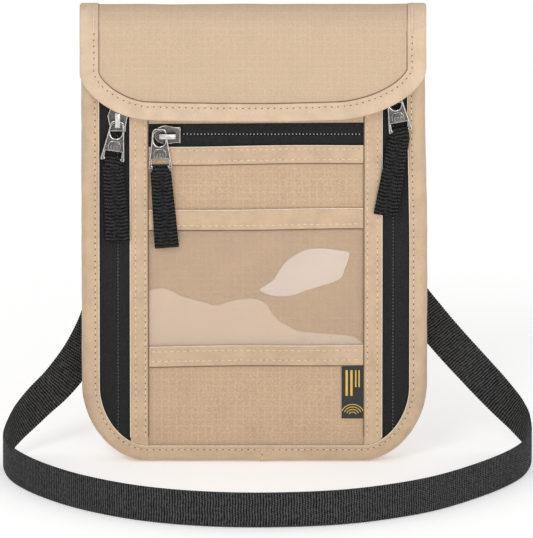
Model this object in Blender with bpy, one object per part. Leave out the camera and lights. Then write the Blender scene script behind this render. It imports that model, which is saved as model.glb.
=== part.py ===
"""A flat neck pouch wallet: a bound fabric body with two side zips and one cross zip,
a clear pocket, a fold-over flap, three zip pulls with webbing tabs, and a neck strap.

The pouch stands upright with its front towards -Y. Everything hangs on one empty, pouch_origin,
which puts the middle of the pouch's base at the world's origin. Below it, Y = 0 is the middle
plane of the bound body, and the layers are given by their distance in front (-Y) or behind (+Y).
"""

import math

import bmesh
import bpy
from mathutils import Matrix, Vector

# ---- driving dimensions, in metres -------------------------------------------------------------

BODY_WIDTH = 0.145
BODY_TOP = 0.1883
BODY_DEPTH = 0.014
CORNER_WIDTH = 0.027
CORNER_HEIGHT = 0.033
CORNER_POWER = 1.9
BINDING_WIDTH = 0.0073
BINDING_WALL = 0.0008

FLAP_HALF_WIDTH = 0.0724
FLAP_SHIFT = -0.0006
FLAP_TOP = 0.1884
FLAP_BOTTOM = 0.1495
FLAP_LEFT_CORNER = (0.028, 0.020, 1.65)
FLAP_RIGHT_CORNER = (0.038, 0.022, 1.75)
CROWN_FOOT = 0.1888
CROWN_RISE = 0.0094
CROWN_THICKNESS = 0.0012

GAP = 0.0003
WEBBING_THICKNESS = 0.0011
STRAP_WIDTH = 0.015

# Layers of the body: (front, back) distances along Y from the middle plane.
BINDING_LAYER = (-BODY_DEPTH / 2, BODY_DEPTH / 2)
TAPE_LAYER = (-0.0070, -0.0062)
FACE_LAYER = (-0.0059, -0.0050)
COIL_LAYER = (-0.00505, -0.0039)
WINDOW_FILM_LAYER = (-0.0059, -0.0056)
WINDOW_FABRIC_LAYER = (-0.0053, -0.0048)
LABEL_LAYER = (-0.0066, -0.0062)
POCKET_BAG_LAYER = (-0.0034, -0.0030)
FRONT_WALL_LAYER = (-0.0027, -0.0021)
DIVIDER_LAYER = (0.0025, 0.0029)
RFID_LAYER = (0.0032, 0.0035)
PADDING_LAYER = (0.0038, 0.0048)
BACK_LAYER = (0.0051, 0.0059)

# Layers of the closed flap, in front of the body.
FLAP_BINDING_LAYER = (-0.0134, -0.0108)
FLAP_BINDING_WALL = 0.0004
FLAP_SHELL_LAYER = (-0.0128, -0.0122)
FLAP_LINING_LAYER = (-0.0119, -0.0114)
HOOK_LAYER = (-0.0110, -0.0091)
LOOP_LAYER = (-0.0088, -0.0073)

# Front layout: chain lines of the zips, seams and strips.
LEFT_CHAIN_X = -0.0572
RIGHT_CHAIN_X = 0.0581
CROSS_CHAIN_Z = 0.1425
LEFT_STRIP = (-0.0520, -0.0446)
RIGHT_STRIP = (0.0460, 0.0534)
LEFT_SEAM_X = -0.0484
RIGHT_SEAM_X = 0.0496
FRONT_TOP_EDGE = (0.1476, 0.1900)
POCKET_TOP_TAPE = (0.1298, 0.1374)
WINDOW_TOP_TAPE = (0.1014, 0.1100)
WINDOW_BOTTOM_TAPE = (0.0423, 0.0508)
UPPER_PANEL = (0.1060, 0.1342)
WINDOW = (0.0468, 0.1056)
LOWER_PANEL_TOP = 0.0464
LABEL = (0.0366, 0.0457, 0.0193, 0.0421)

# Zip parts, size 5 coil.
CHAIN_HALF_GAP = 0.00045
COIL_HALF_WIDTH = 0.0019
SIDE_ZIP_FOOT = 0.0070
SLIDER_FRONT = -0.0074
BAIL_UNDER = -0.00965
BAIL_FRONT = -0.0106
BAIL_HALF_LENGTH = 0.0040
BAIL_LEG = 0.0012
BAIL_HALF_WIDTH = 0.0012
RING_DROP = 0.00135
PULLER_HALF_THICKNESS = 0.0006
PULLER_PLANE = -0.0085
CROSSBAR_DROP = 0.0159
CROSS_RING_RISE = 0.00235
TAB_LENGTH = 0.035
TAB_WIDTH = 0.010
TAB_NECK_WIDTH = 0.0066

LEFT_SLIDER_Z = 0.1495
RIGHT_SLIDER_Z = 0.1618
CROSS_SLIDER_X = -0.0363
# Lean of each puller, and of each tab, in degrees: positive when the foot swings towards +X.
LEFT_LEAN = (-7.8, 3.5)
RIGHT_LEAN = (11.0, -9.6)
CROSS_LEAN = (1.5, 4.4)

# Neck strap, behind the body.
STRAP_SIDE_X = 0.054
RING_CENTRE = (0.0090, 0.16575)
ADJUSTER_Z = 0.118

# The strap's route, by hand: from the left anchor down the back, out to the left, round the front
# on its edge, and up the right side to the ring. Y is from the middle plane of the body.
STRAP_ROUTE = [
    (-0.0570, 0.0068, 0.1860), (-0.0570, 0.0068, 0.1720), (-0.0570, 0.0076, 0.1540),
    (-0.0574, 0.0086, 0.1300), (-0.0584, 0.0098, 0.1050), (-0.0606, 0.0114, 0.0820),
    (-0.0648, 0.0128, 0.0610), (-0.0722, 0.0135, 0.0440), (-0.0818, 0.0130, 0.0305),
    (-0.0910, 0.0095, 0.0220), (-0.0992, 0.0025, 0.0145), (-0.1040, -0.0075, 0.0095),
    (-0.1046, -0.0205, 0.0079), (-0.1000, -0.0400, 0.0078), (-0.0880, -0.0615, 0.0078),
    (-0.0700, -0.0815, 0.0078), (-0.0460, -0.0975, 0.0078), (-0.0180, -0.1060, 0.0078),
    (0.0120, -0.1070, 0.0078), (0.0420, -0.1010, 0.0078), (0.0710, -0.0850, 0.0078),
    (0.0930, -0.0620, 0.0078), (0.1085, -0.0380, 0.0078), (0.1150, -0.0180, 0.0082),
    (0.1153, -0.0030, 0.0110), (0.1106, 0.0065, 0.0165), (0.1026, 0.0125, 0.0242),
    (0.0928, 0.0150, 0.0345), (0.0830, 0.0152, 0.0455), (0.0735, 0.0150, 0.0570),
    (0.0640, 0.0138, 0.0700), (0.0572, 0.0116, 0.0850), (0.0541, 0.0094, 0.1010),
    (0.0540, 0.0082, 0.1160), (0.0540, 0.0077, 0.1380), (0.0540, 0.0070, 0.1600),
]
STRAP_STATIONS = 76

ORIGIN_OFFSET = Vector((0.00025, 0.0032, 0.0))

# ---- materials: colour, roughness, metallic ----------------------------------------------------

FINISHES = {
    "ripstop": ((0.62, 0.46, 0.31), 0.85, 0.0),
    "binding_tape": ((0.68, 0.52, 0.36), 0.80, 0.0),
    "lining": ((0.45, 0.36, 0.27), 0.85, 0.0),
    "foil_cloth": ((0.40, 0.41, 0.42), 0.45, 0.6),
    "padding_foam": ((0.20, 0.20, 0.20), 0.95, 0.0),
    "clear_film": ((0.80, 0.74, 0.66), 0.15, 0.0),
    "zip_tape": ((0.018, 0.018, 0.020), 0.75, 0.0),
    "webbing": ((0.022, 0.022, 0.024), 0.70, 0.0),
    "slider_metal": ((0.30, 0.29, 0.28), 0.35, 1.0),
    "label_cloth": ((0.015, 0.015, 0.016), 0.55, 0.0),
    "hook_loop": ((0.50, 0.40, 0.29), 0.95, 0.0),
    "moulded_plastic": ((0.020, 0.020, 0.021), 0.45, 0.0),
}


def finish(name):
    """The material of that name, made the first time it is asked for."""
    found = bpy.data.materials.get(name)
    if found:
        return found
    colour, roughness, metallic = FINISHES[name]
    made = bpy.data.materials.new(name)
    made.use_nodes = True
    shader = made.node_tree.nodes["Principled BSDF"]
    shader.inputs["Base Color"].default_value = (*colour, 1.0)
    shader.inputs["Roughness"].default_value = roughness
    shader.inputs["Metallic"].default_value = metallic
    made.diffuse_color = (*colour, 1.0)
    return made


# ---- making objects ----------------------------------------------------------------------------


def clear_scene():
    for obj in list(bpy.data.objects):
        bpy.data.objects.remove(obj, do_unlink=True)


def empty(name, location, parent=None):
    made = bpy.data.objects.new(name, None)
    made.empty_display_size = 0.01
    made.location = location
    made.parent = parent
    bpy.context.scene.collection.objects.link(made)
    return made


def mesh_from(name, bm):
    bmesh.ops.recalc_face_normals(bm, faces=bm.faces)
    mesh = bpy.data.meshes.new(name)
    bm.to_mesh(mesh)
    bm.free()
    return mesh


def add(name, mesh, material, parent, location=(0, 0, 0), lean=0.0):
    """An object of that mesh, turned in the plane of the front by lean degrees."""
    if not mesh.materials:
        mesh.materials.append(finish(material))
    made = bpy.data.objects.new(name, mesh)
    made.location = location
    made.rotation_euler = (0, -math.radians(lean), 0)
    made.parent = parent
    bpy.context.scene.collection.objects.link(made)
    return made


def smooth(obj, angle=35):
    obj.data.shade_smooth()
    obj.data.set_sharp_from_angle(angle=math.radians(angle))


def prism_mesh(name, outlines, layer, across="Y"):
    """A plate between two planes: its outer outline, then the outlines of its holes.

    Across Y the outlines are (x, z), and across X they are (y, z).
    """
    low, high = layer
    bm = bmesh.new()
    for outline in outlines:
        if across == "Y":
            corners = [bm.verts.new((a, low, b)) for a, b in outline]
        else:
            corners = [bm.verts.new((low, a, b)) for a, b in outline]
        for i, corner in enumerate(corners):
            bm.edges.new((corners[i - 1], corner))
    bmesh.ops.triangle_fill(bm, use_beauty=True, use_dissolve=False, edges=bm.edges[:])
    raised = bmesh.ops.extrude_face_region(bm, geom=bm.faces[:])
    step = Vector((0, high - low, 0)) if across == "Y" else Vector((high - low, 0, 0))
    moved = [item for item in raised["geom"] if isinstance(item, bmesh.types.BMVert)]
    bmesh.ops.translate(bm, verts=moved, vec=step)
    return mesh_from(name, bm)


def rectangle(left, right, bottom, top):
    return [(left, bottom), (right, bottom), (right, top), (left, top)]


def box_mesh(name, left, right, layer, bottom, top):
    return prism_mesh(name, [rectangle(left, right, bottom, top)], layer)


def helper(name, mesh):
    """A shape that only cuts or joins another one."""
    made = bpy.data.objects.new(name, mesh)
    made.hide_render = True
    made.display_type = "WIRE"
    bpy.context.scene.collection.objects.link(made)
    return made


def combine(name, base, others, operation="UNION"):
    """The mesh of base joined with, or cut by, the other meshes, with EXACT Booleans."""
    holder = bpy.data.objects.new(name, base)
    bpy.context.scene.collection.objects.link(holder)
    helpers = [helper(f"{name}_helper", other) for other in others]
    for other in helpers:
        modifier = holder.modifiers.new("combine", "BOOLEAN")
        modifier.operation = operation
        modifier.solver = "EXACT"
        modifier.object = other
    graph = bpy.context.evaluated_depsgraph_get()
    joined = bpy.data.meshes.new_from_object(holder.evaluated_get(graph))
    joined.name = name
    for obj in [holder, *helpers]:
        bpy.data.objects.remove(obj, do_unlink=True)
    return joined


# ---- outlines ----------------------------------------------------------------------------------


def quarter(width, height, power, steps):
    """(across, down) along a superellipse quarter, from its side to its foot."""
    points = []
    for i in range(steps + 1):
        angle = math.pi / 2 * i / steps
        across = math.cos(angle) ** (2 / power) * width
        down = math.sin(angle) ** (2 / power) * height
        points.append((across, down))
    return points


def corner_points(half_width, bottom, corner, steps):
    """(x, z) round the lower right corner, from its side to its foot."""
    width, height, power = corner
    curve = quarter(width, height, power, steps)
    return [(half_width - width + across, bottom + height - down) for across, down in curve]


def u_path(half_width, top, bottom, corners, steps, droop=0.0):
    """(x, z) down the left side, round the bottom, and up the right side."""
    left, right = (corner_points(half_width, bottom, corner, steps) for corner in corners)
    left = [(-x, z) for x, z in left]
    base = [(0.0, bottom - droop)]
    return [(-half_width, top), *left, *base, *reversed(right), (half_width, top)]


def body_path():
    corner = (CORNER_WIDTH, CORNER_HEIGHT, CORNER_POWER)
    return u_path(BODY_WIDTH / 2, BODY_TOP, 0.0, (corner, corner), 9)


def flap_path():
    corners = (FLAP_LEFT_CORNER, FLAP_RIGHT_CORNER)
    droop = 0.0007
    return u_path(FLAP_HALF_WIDTH, FLAP_TOP, FLAP_BOTTOM + droop, corners, 9, droop)


def inward_normals(path):
    """Unit (x, z) normals to the left of the path, which runs anticlockwise seen from the front."""
    normals = []
    last = len(path) - 1
    for i in range(len(path)):
        before = Vector(path[i]) - Vector(path[max(i - 1, 0)])
        after = Vector(path[min(i + 1, last)]) - Vector(path[i])
        along = before.normalized() + after.normalized()
        if i in (0, last):
            along = Vector((0.0, -1.0)) if i == 0 else Vector((0.0, 1.0))
        along.normalize()
        normals.append(Vector((-along.y, along.x)))
    return normals


def inset(path, margin):
    return [
        (x + normal.x * margin, z + normal.y * margin)
        for (x, z), normal in zip(path, inward_normals(path))
    ]


def clipped(outline, region):
    """The part of the outline inside a convex region, whose corners run anticlockwise."""
    result = list(outline)
    for i, end in enumerate(region):
        start = region[i - 1]
        edge = (end[0] - start[0], end[1] - start[1])

        def side(point):
            return edge[0] * (point[1] - start[1]) - edge[1] * (point[0] - start[0])

        kept = []
        for k, point in enumerate(result):
            previous = result[k - 1]
            here, there = side(point), side(previous)
            if (here > 0) != (there > 0):
                t = there / (there - here)
                kept.append(tuple(a + (b - a) * t for a, b in zip(previous, point)))
            if here > 0:
                kept.append(point)
        result = kept
    return result


def in_body(left, right, bottom, top, margin=BINDING_WALL + GAP):
    """A rectangle cut to fit inside the body's binding."""
    return clipped(rectangle(left, right, bottom, top), inset(body_path(), margin))


# ---- sweeps ------------------------------------------------------------------------------------


def channel_profile(width, wall, layer):
    """The section of a binding folded round an edge: (inward, y), open on its inner side."""
    front, back = layer
    ease = min(0.0012, (back - front) * 0.25)
    return [
        (width, front), (ease, front), (ease * 0.3, front + ease * 0.3), (0.0, front + ease),
        (0.0, back - ease), (ease * 0.3, back - ease * 0.3), (ease, back), (width, back),
        (width, back - wall), (wall, back - wall), (wall, front + wall), (width, front + wall),
    ]


def swept_mesh(name, path, profile):
    """A closed (inward, y) profile carried along an open (x, z) path."""
    bm = bmesh.new()
    rings = []
    for (x, z), normal in zip(path, inward_normals(path)):
        ring = [bm.verts.new((x + normal.x * u, y, z + normal.y * u)) for u, y in profile]
        rings.append(ring)
    for first, second in zip(rings, rings[1:]):
        for k in range(len(profile)):
            bm.faces.new((first[k - 1], first[k], second[k], second[k - 1]))
    bm.faces.new(rings[0])
    bm.faces.new(reversed(rings[-1]))
    return mesh_from(name, bm)


def smooth_route(points, count):
    """Evenly numbered points on the Catmull-Rom curve through the given ones."""
    guide = [Vector(p) for p in points]
    guide = [2 * guide[0] - guide[1], *guide, 2 * guide[-1] - guide[-2]]
    spans = len(guide) - 3
    result = []
    for i in range(count):
        place = i * spans / (count - 1)
        k = min(int(place), spans - 1)
        t = place - k
        a, b, c, d = guide[k : k + 4]
        result.append(
            0.5 * (2 * b + (c - a) * t + (2 * a - 5 * b + 4 * c - d) * t**2
                   + (3 * b - a - 3 * c + d) * t**3)
        )
    return result


def strap_frames():
    """(point, along, across) down the strap: it stands on its edge on the ground and lies flat
    against the back where it climbs."""
    route = smooth_route(STRAP_ROUTE, STRAP_STATIONS)
    frames = []
    for i, point in enumerate(route):
        along = (route[min(i + 1, len(route) - 1)] - route[max(i - 1, 0)]).normalized()
        climb = min(max((point.z - 0.012) / 0.05, 0.0), 1.0)
        outward = Vector((math.copysign(1.0, point.x), 0, 0))
        guide = Vector((0, 0, 1)) + outward * climb
        across = (guide - along * guide.dot(along)).normalized()
        frames.append((point, along, across))
    return frames


def strap_mesh():
    half, thin = STRAP_WIDTH / 2, WEBBING_THICKNESS / 2
    bm = bmesh.new()
    rings = []
    for point, along, across in strap_frames():
        face = along.cross(across)
        corners = [(half, thin), (-half, thin), (-half, -thin), (half, -thin)]
        rings.append([bm.verts.new(point + across * a + face * b) for a, b in corners])
    for first, second in zip(rings, rings[1:]):
        for k in range(4):
            bm.faces.new((first[k - 1], first[k], second[k], second[k - 1]))
    bm.faces.new(rings[0])
    bm.faces.new(reversed(rings[-1]))
    return mesh_from("neck_strap", bm)


def folded_webbing(name, path):
    """Webbing of the strap's width that runs along a (y, z) path behind the body's right side."""
    thin = WEBBING_THICKNESS / 2
    near, far = [], []
    last = len(path) - 1
    for i, (y, z) in enumerate(path):
        before, after = Vector(path[max(i - 1, 0)]), Vector(path[min(i + 1, last)])
        along = (after - before).normalized()
        near.append((y - along.y * thin, z + along.x * thin))
        far.append((y + along.y * thin, z - along.x * thin))
    outline = near + far[::-1]
    half = STRAP_WIDTH / 2
    return prism_mesh(name, [outline], (STRAP_SIDE_X - half, STRAP_SIDE_X + half), across="X")


def arc(centre, radius, start, end, steps):
    """(y, z) points round a centre, from one angle in degrees to another."""
    points = []
    for i in range(steps + 1):
        angle = math.radians(start + (end - start) * i / steps)
        points.append((centre[0] + radius * math.cos(angle), centre[1] + radius * math.sin(angle)))
    return points


# ---- the body ----------------------------------------------------------------------------------


def make_shell(root):
    """The bound frame, the back with its padding and linings, and the wall behind the pockets."""
    profile = channel_profile(BINDING_WIDTH, BINDING_WALL, BINDING_LAYER)
    binding = swept_mesh("body_binding", body_path(), profile)
    smooth(add("body_binding", binding, "binding_tape", root), 50)
    layers = [
        ("back_panel", BACK_LAYER, 0.0711, 0.0, 0.1881, "ripstop"),
        ("back_padding", PADDING_LAYER, 0.0675, 0.004, 0.1855, "padding_foam"),
        ("rfid_lining", RFID_LAYER, 0.0670, 0.005, 0.1840, "foil_cloth"),
        ("passport_divider", DIVIDER_LAYER, 0.0660, 0.006, 0.1240, "lining"),
        ("front_wall", FRONT_WALL_LAYER, 0.0711, 0.0, 0.1881, "lining"),
    ]
    for name, layer, half, bottom, top, material in layers:
        margin = BINDING_WALL + GAP + bottom * 0.8
        outline = in_body(-half, half, bottom, top, margin)
        add(name, prism_mesh(name, [outline], layer), material, root)


def make_front(root):
    """The sewn pieces of the front face and the tapes that cover their seams."""
    left, right = LEFT_SEAM_X + 0.0002, RIGHT_SEAM_X - 0.0002
    faces = [
        ("upper_panel", left, right, *UPPER_PANEL, FACE_LAYER, "ripstop"),
        ("window_backing", left, right, *WINDOW, WINDOW_FABRIC_LAYER, "ripstop"),
        ("window_film", left, right, *WINDOW, WINDOW_FILM_LAYER, "clear_film"),
        ("lower_panel", left, right, 0.0, LOWER_PANEL_TOP, FACE_LAYER, "ripstop"),
        ("cross_pocket_bag", -0.044, 0.045, 0.062, 0.136, POCKET_BAG_LAYER, "lining"),
    ]
    for name, x0, x1, z0, z1, layer, material in faces:
        mesh = prism_mesh(name, [in_body(x0, x1, z0, z1)], layer)
        add(name, mesh, material, root)
    inner_left, inner_right = LEFT_STRIP[1] + GAP, RIGHT_STRIP[0] - GAP
    tapes = [
        ("front_top_panel", inner_left, inner_right, *FRONT_TOP_EDGE, "ripstop"),
        ("pocket_top_tape", inner_left, inner_right, *POCKET_TOP_TAPE, "binding_tape"),
        ("window_top_tape", inner_left, inner_right, *WINDOW_TOP_TAPE, "binding_tape"),
        ("window_bottom_tape", inner_left, inner_right, *WINDOW_BOTTOM_TAPE, "binding_tape"),
        ("left_strip", *LEFT_STRIP, 0.0102, 0.1900, "binding_tape"),
        ("right_strip", *RIGHT_STRIP, 0.0102, 0.1900, "binding_tape"),
    ]
    for name, x0, x1, z0, z1, material in tapes:
        add(name, box_mesh(name, x0, x1, TAPE_LAYER, z0, z1), material, root)
    x0, x1, z0, z1 = LABEL
    add("label_tag", box_mesh("label_tag", x0, x1, LABEL_LAYER, z0, z1), "label_cloth", root)
    loop = box_mesh("loop_patch", -0.026, 0.026, LOOP_LAYER, 0.1580, 0.1760)
    add("loop_patch", loop, "hook_loop", root)


# ---- zips --------------------------------------------------------------------------------------


def stringer_mesh(name, tape_outline, coil_box):
    """Half of a zip: its woven tape with half of the coil sewn along the inner side."""
    tape = prism_mesh(name, [tape_outline], FACE_LAYER)
    coil = box_mesh(f"{name}_coil", *coil_box[:2], COIL_LAYER, *coil_box[2:])
    return combine(name, tape, [coil])


def make_side_zip(root, side, chain, seam, edge, slider_z):
    """The two halves of a side zip: one runs into the binding and one under the strip."""
    top = slider_z + 0.0115
    sign = math.copysign(1.0, chain)
    for place, far in (("outer", edge), ("inner", seam)):
        turn = sign if place == "outer" else -sign
        near = chain + turn * CHAIN_HALF_GAP
        coil = sorted((near + turn * 0.00005, chain + turn * COIL_HALF_WIDTH))
        outline = in_body(*sorted((near, far)), 0.0, 0.1885)
        name = f"{side}_zip_{place}_half"
        box = (*coil, SIDE_ZIP_FOOT + 0.006, top)
        add(name, stringer_mesh(name, outline, box), "zip_tape", root)
    stop = box_mesh(f"{side}_zip_top_stop", chain - 0.0017, chain + 0.0017,
                    (-0.0068, -0.0062), slider_z + 0.0062, slider_z + 0.0080)
    add(f"{side}_zip_top_stop", stop, "slider_metal", root)


def make_cross_zip(root):
    """The two halves of the zip that runs across the front above the pockets."""
    left, right = LEFT_SEAM_X + 0.0002, RIGHT_SEAM_X - 0.0002
    for place, turn, far in (("upper", 1, 0.1505), ("lower", -1, 0.1345)):
        near = CROSS_CHAIN_Z + turn * CHAIN_HALF_GAP
        coil = sorted((near + turn * 0.00005, CROSS_CHAIN_Z + turn * COIL_HALF_WIDTH))
        outline = rectangle(left, right, *sorted((near, far)))
        name = f"cross_zip_{place}_half"
        box = (LEFT_STRIP[1] + 0.001, RIGHT_STRIP[0] - 0.001, *coil)
        add(name, stringer_mesh(name, outline, box), "zip_tape", root)


def slider_mesh():
    """A zip slider with its nose towards +Z: two wings, the post between them and the bail."""
    half = [
        (0.0034, -0.0053), (0.0035, -0.0030), (0.0043, 0.0012), (0.0032, 0.0042), (0.0016, 0.0055),
    ]
    outline = half + [(-x, z) for x, z in reversed(half)]
    front = prism_mesh("slider_front_wing", [outline], (SLIDER_FRONT, -0.0062))
    back = prism_mesh("slider_back_wing", [outline], (-0.0036, -0.0030))
    post = box_mesh("slider_post", -0.00025, 0.00025, (-0.0064, -0.0034), 0.0002, 0.0045)
    length, leg = BAIL_HALF_LENGTH, BAIL_LEG
    foot = SLIDER_FRONT + 0.0002
    bail = [
        (foot, -length), (BAIL_FRONT + 0.0006, -length), (BAIL_FRONT, -length + 0.0008),
        (BAIL_FRONT, length - 0.0008), (BAIL_FRONT + 0.0006, length), (foot, length),
        (foot, length - leg), (BAIL_UNDER, length - leg),
        (BAIL_UNDER, -length + leg), (foot, -length + leg),
    ]
    arch = prism_mesh("slider_bail", [bail], (-BAIL_HALF_WIDTH, BAIL_HALF_WIDTH), across="X")
    return combine("slider", front, [post, back, arch])


def puller_mesh(name, rise):
    """A flat puller whose ring bar is rise above the origin, with a D-shaped eye and a bar that
    holds the webbing at its foot."""
    half = [
        (0.0015, 0.00075), (0.0026, 0.0003), (0.0031, -0.0008), (0.0036, -0.0045),
        (0.0041, -0.0090), (0.0046, -0.0130), (0.0049, -0.0160), (0.0044, -0.01655),
    ]
    eye = [
        (0.0017, -0.00075), (0.0025, -0.0022), (0.00275, -0.0042), (0.0022, -0.0059), (0.0011, -0.0068),
    ]
    slot = [(0.0035, -0.0125), (0.0035, -0.01535)]
    outlines = []
    for points in (half, eye, slot):
        full = points + [(-x, z) for x, z in reversed(points)]
        outlines.append([(x, z + rise) for x, z in full])
    return prism_mesh(name, outlines, (-PULLER_HALF_THICKNESS, PULLER_HALF_THICKNESS))


def tab_mesh(name, lean):
    """Webbing folded round the puller's bar: a narrow neck round the bar, then the full width,
    leaning by some degrees from the puller's own line."""
    bar_room, outer = 0.00095, 0.00135
    round_top = arc((0, 0), outer, 0, 180, 8)
    neck_outline = round_top + [(-0.0009, -0.0030), (0.0009, -0.0030)]
    tunnel = arc((0, 0), bar_room, 0, 315, 7)
    half = TAB_NECK_WIDTH / 2
    neck = prism_mesh(f"{name}_neck", [neck_outline, tunnel], (-half, half), across="X")
    sway = math.tan(math.radians(lean))
    top, foot, wide = -0.0014, -TAB_LENGTH, TAB_WIDTH / 2
    outline = [
        (-wide + sway * -foot, foot), (wide + sway * -foot, foot),
        (wide, top), (-wide, top),
    ]
    return combine(name, prism_mesh(name, [outline], (-0.0010, 0.0010)), [neck])


def make_pull(root, side, slider_place, slider_lean, ring_place, rise, leans):
    """A slider with its puller and webbing tab, each on an empty at its joint."""
    puller_lean, tab_lean = leans
    holder = empty(f"{side}_slider_axis", slider_place, root)
    body = bpy.data.meshes["slider"]
    smooth(add(f"{side}_slider", body, "slider_metal", holder, lean=slider_lean))
    ring = empty(f"{side}_puller_axis", ring_place, holder)
    puller = puller_mesh(f"{side}_puller", rise)
    add(f"{side}_puller", puller, "slider_metal", ring, lean=puller_lean)
    turn = Matrix.Rotation(-math.radians(puller_lean), 3, "Y")
    bar_place = turn @ Vector((0, 0, rise - CROSSBAR_DROP))
    bar = empty(f"{side}_tab_axis", bar_place, ring)
    tab = tab_mesh(f"{side}_pull_tab", tab_lean - puller_lean)
    add(f"{side}_pull_tab", tab, "webbing", bar, lean=puller_lean)


def make_pulls(root):
    slider_mesh()
    side_ring = (0, PULLER_PLANE, -RING_DROP)
    cross_ring = (-BAIL_HALF_LENGTH + BAIL_LEG / 2, PULLER_PLANE, 0)
    left_place = (LEFT_CHAIN_X, 0, LEFT_SLIDER_Z)
    right_place = (RIGHT_CHAIN_X, 0, RIGHT_SLIDER_Z)
    cross_place = (CROSS_SLIDER_X, 0, CROSS_CHAIN_Z)
    make_pull(root, "left", left_place, 0, side_ring, 0.0, LEFT_LEAN)
    make_pull(root, "right", right_place, 0, side_ring, 0.0, RIGHT_LEAN)
    make_pull(root, "cross", cross_place, 90, cross_ring, CROSS_RING_RISE, CROSS_LEAN)


# ---- the flap ----------------------------------------------------------------------------------


def crown_section():
    """The (y, z) section of the crown, an arch from the body's back to the flap's front."""
    front, back = FLAP_BINDING_LAYER[0], BINDING_LAYER[1] - 0.0002
    middle, reach = (front + back) / 2, (back - front) / 2
    section = []
    for inset_by, order in ((0.0, range(17)), (CROWN_THICKNESS, reversed(range(17)))):
        for i in order:
            angle = math.pi * i / 16
            across = (reach - inset_by) * math.cos(angle)
            section.append((middle + across, CROWN_FOOT + (CROWN_RISE - inset_by) * math.sin(angle)))
    return section


def make_flap(root):
    """The crown that folds over the top, and the flap that hangs from it in front."""
    crown_hinge = empty("crown_axis", (0, BINDING_LAYER[1], CROWN_FOOT), root)
    flap_hinge = empty("flap_axis", (0, FLAP_BINDING_LAYER[0] - BINDING_LAYER[1], 0), crown_hinge)
    from_crown = Vector((0, -BINDING_LAYER[1], -CROWN_FOOT))
    from_flap = from_crown - flap_hinge.location
    left, right = FLAP_SHIFT - FLAP_HALF_WIDTH, FLAP_SHIFT + FLAP_HALF_WIDTH
    crown = prism_mesh("flap_crown", [crown_section()], (left, right), across="X")
    smooth(add("flap_crown", crown, "ripstop", crown_hinge, from_crown), 50)

    at = from_flap + Vector((FLAP_SHIFT, 0, 0))
    profile = channel_profile(BINDING_WIDTH + 0.0003, FLAP_BINDING_WALL, FLAP_BINDING_LAYER)
    binding = swept_mesh("flap_binding", flap_path(), profile)
    smooth(add("flap_binding", binding, "binding_tape", flap_hinge, at), 50)
    inner = inset(flap_path(), FLAP_BINDING_WALL + GAP)
    top = FLAP_TOP - 0.0003
    region = rectangle(-FLAP_HALF_WIDTH, FLAP_HALF_WIDTH, 0.1, top)
    outline = clipped(region, inner)
    shell = prism_mesh("flap_shell", [outline], FLAP_SHELL_LAYER)
    add("flap_shell", shell, "ripstop", flap_hinge, at)
    lining = prism_mesh("flap_lining", [outline], FLAP_LINING_LAYER)
    add("flap_lining", lining, "lining", flap_hinge, at)
    hook = box_mesh("hook_patch", -0.026, 0.026, HOOK_LAYER, 0.1580, 0.1760)
    add("hook_patch", hook, "hook_loop", flap_hinge, from_flap)


# ---- the neck strap ----------------------------------------------------------------------------


def make_strap(root):
    """The strap, its sewn end, and the ring and adjuster that set its length."""
    add("neck_strap", strap_mesh(), "webbing", root)
    patch = box_mesh("strap_patch", -0.0648, -0.0492, (0.0076, 0.0084), 0.1705, 0.1865)
    add("strap_patch", patch, "ripstop", root)

    y, z = RING_CENTRE
    outer = rectangle(STRAP_SIDE_X - 0.0101, STRAP_SIDE_X + 0.0101, z - 0.00475, z + 0.00475)
    hole = rectangle(STRAP_SIDE_X - 0.0082, STRAP_SIDE_X + 0.0082, z - 0.00295, z + 0.00295)
    ring = prism_mesh("strap_ring", [outer, hole], (y - 0.0009, y + 0.0009))
    add("strap_ring", ring, "moulded_plastic", root)

    top_bar, low_bar = (y, z + 0.00385), (y, z - 0.00385)
    turn = 0.00205
    hanger = [(0.0068, 0.1862), (0.0068, 0.1760)]
    hanger += arc(top_bar, turn, 180, 360, 8)
    hanger += [(y - 0.0008, 0.1755), (0.0082, 0.1785), (0.0082, 0.1862)]
    add("strap_hanger", folded_webbing("strap_hanger", hanger), "webbing", root)

    bar_y = 0.0112
    fold = 0.0015
    back = arc(low_bar, turn, 180, 0, 8)
    back += [(bar_y + fold + 0.0001, 0.1500), (bar_y + fold, 0.1300)]
    back += arc((bar_y, ADJUSTER_Z), fold, 0, -180, 8)
    back += [(bar_y - fold + 0.0002, 0.1240), (bar_y - 0.0002, 0.1290)]
    add("strap_return", folded_webbing("strap_return", back), "webbing", root)
    make_adjuster(root, bar_y)


def make_adjuster(root, bar_y):
    """A three-bar slide: the strap runs between its outer bars and the raised middle bar."""
    half_width, half_height, rim, bar = 0.0102, 0.0080, 0.0017, 0.0007
    left, right = STRAP_SIDE_X - half_width, STRAP_SIDE_X + half_width
    layer = (0.0063, bar_y + 0.0006)
    bottom, top = ADJUSTER_Z - half_height, ADJUSTER_Z + half_height
    block = box_mesh("strap_adjuster", left, right, layer, bottom, top)
    # Each cut: its name, its layer, and its foot and top from the slide's middle.
    slot = half_height - rim
    cuts = [
        ("upper_slot", (0.0050, 0.0140), bar, slot),
        ("lower_slot", (0.0050, 0.0140), -slot, -bar),
        ("strap_room_below", (0.0072, 0.0140), -0.010, 0.0001 - slot),
        ("strap_room_above", (0.0072, 0.0140), slot - 0.0001, 0.010),
        ("strap_run", (0.0050, bar_y - 0.0006), -bar - 0.0002, bar + 0.0002),
    ]
    inner_left, inner_right = left + 0.0020, right - 0.0020
    cutters = [
        box_mesh(name, inner_left, inner_right, depth, ADJUSTER_Z + low, ADJUSTER_Z + high)
        for name, depth, low, high in cuts
    ]
    adjuster = combine("strap_adjuster", block, cutters, "DIFFERENCE")
    add("strap_adjuster", adjuster, "moulded_plastic", root)


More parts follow.
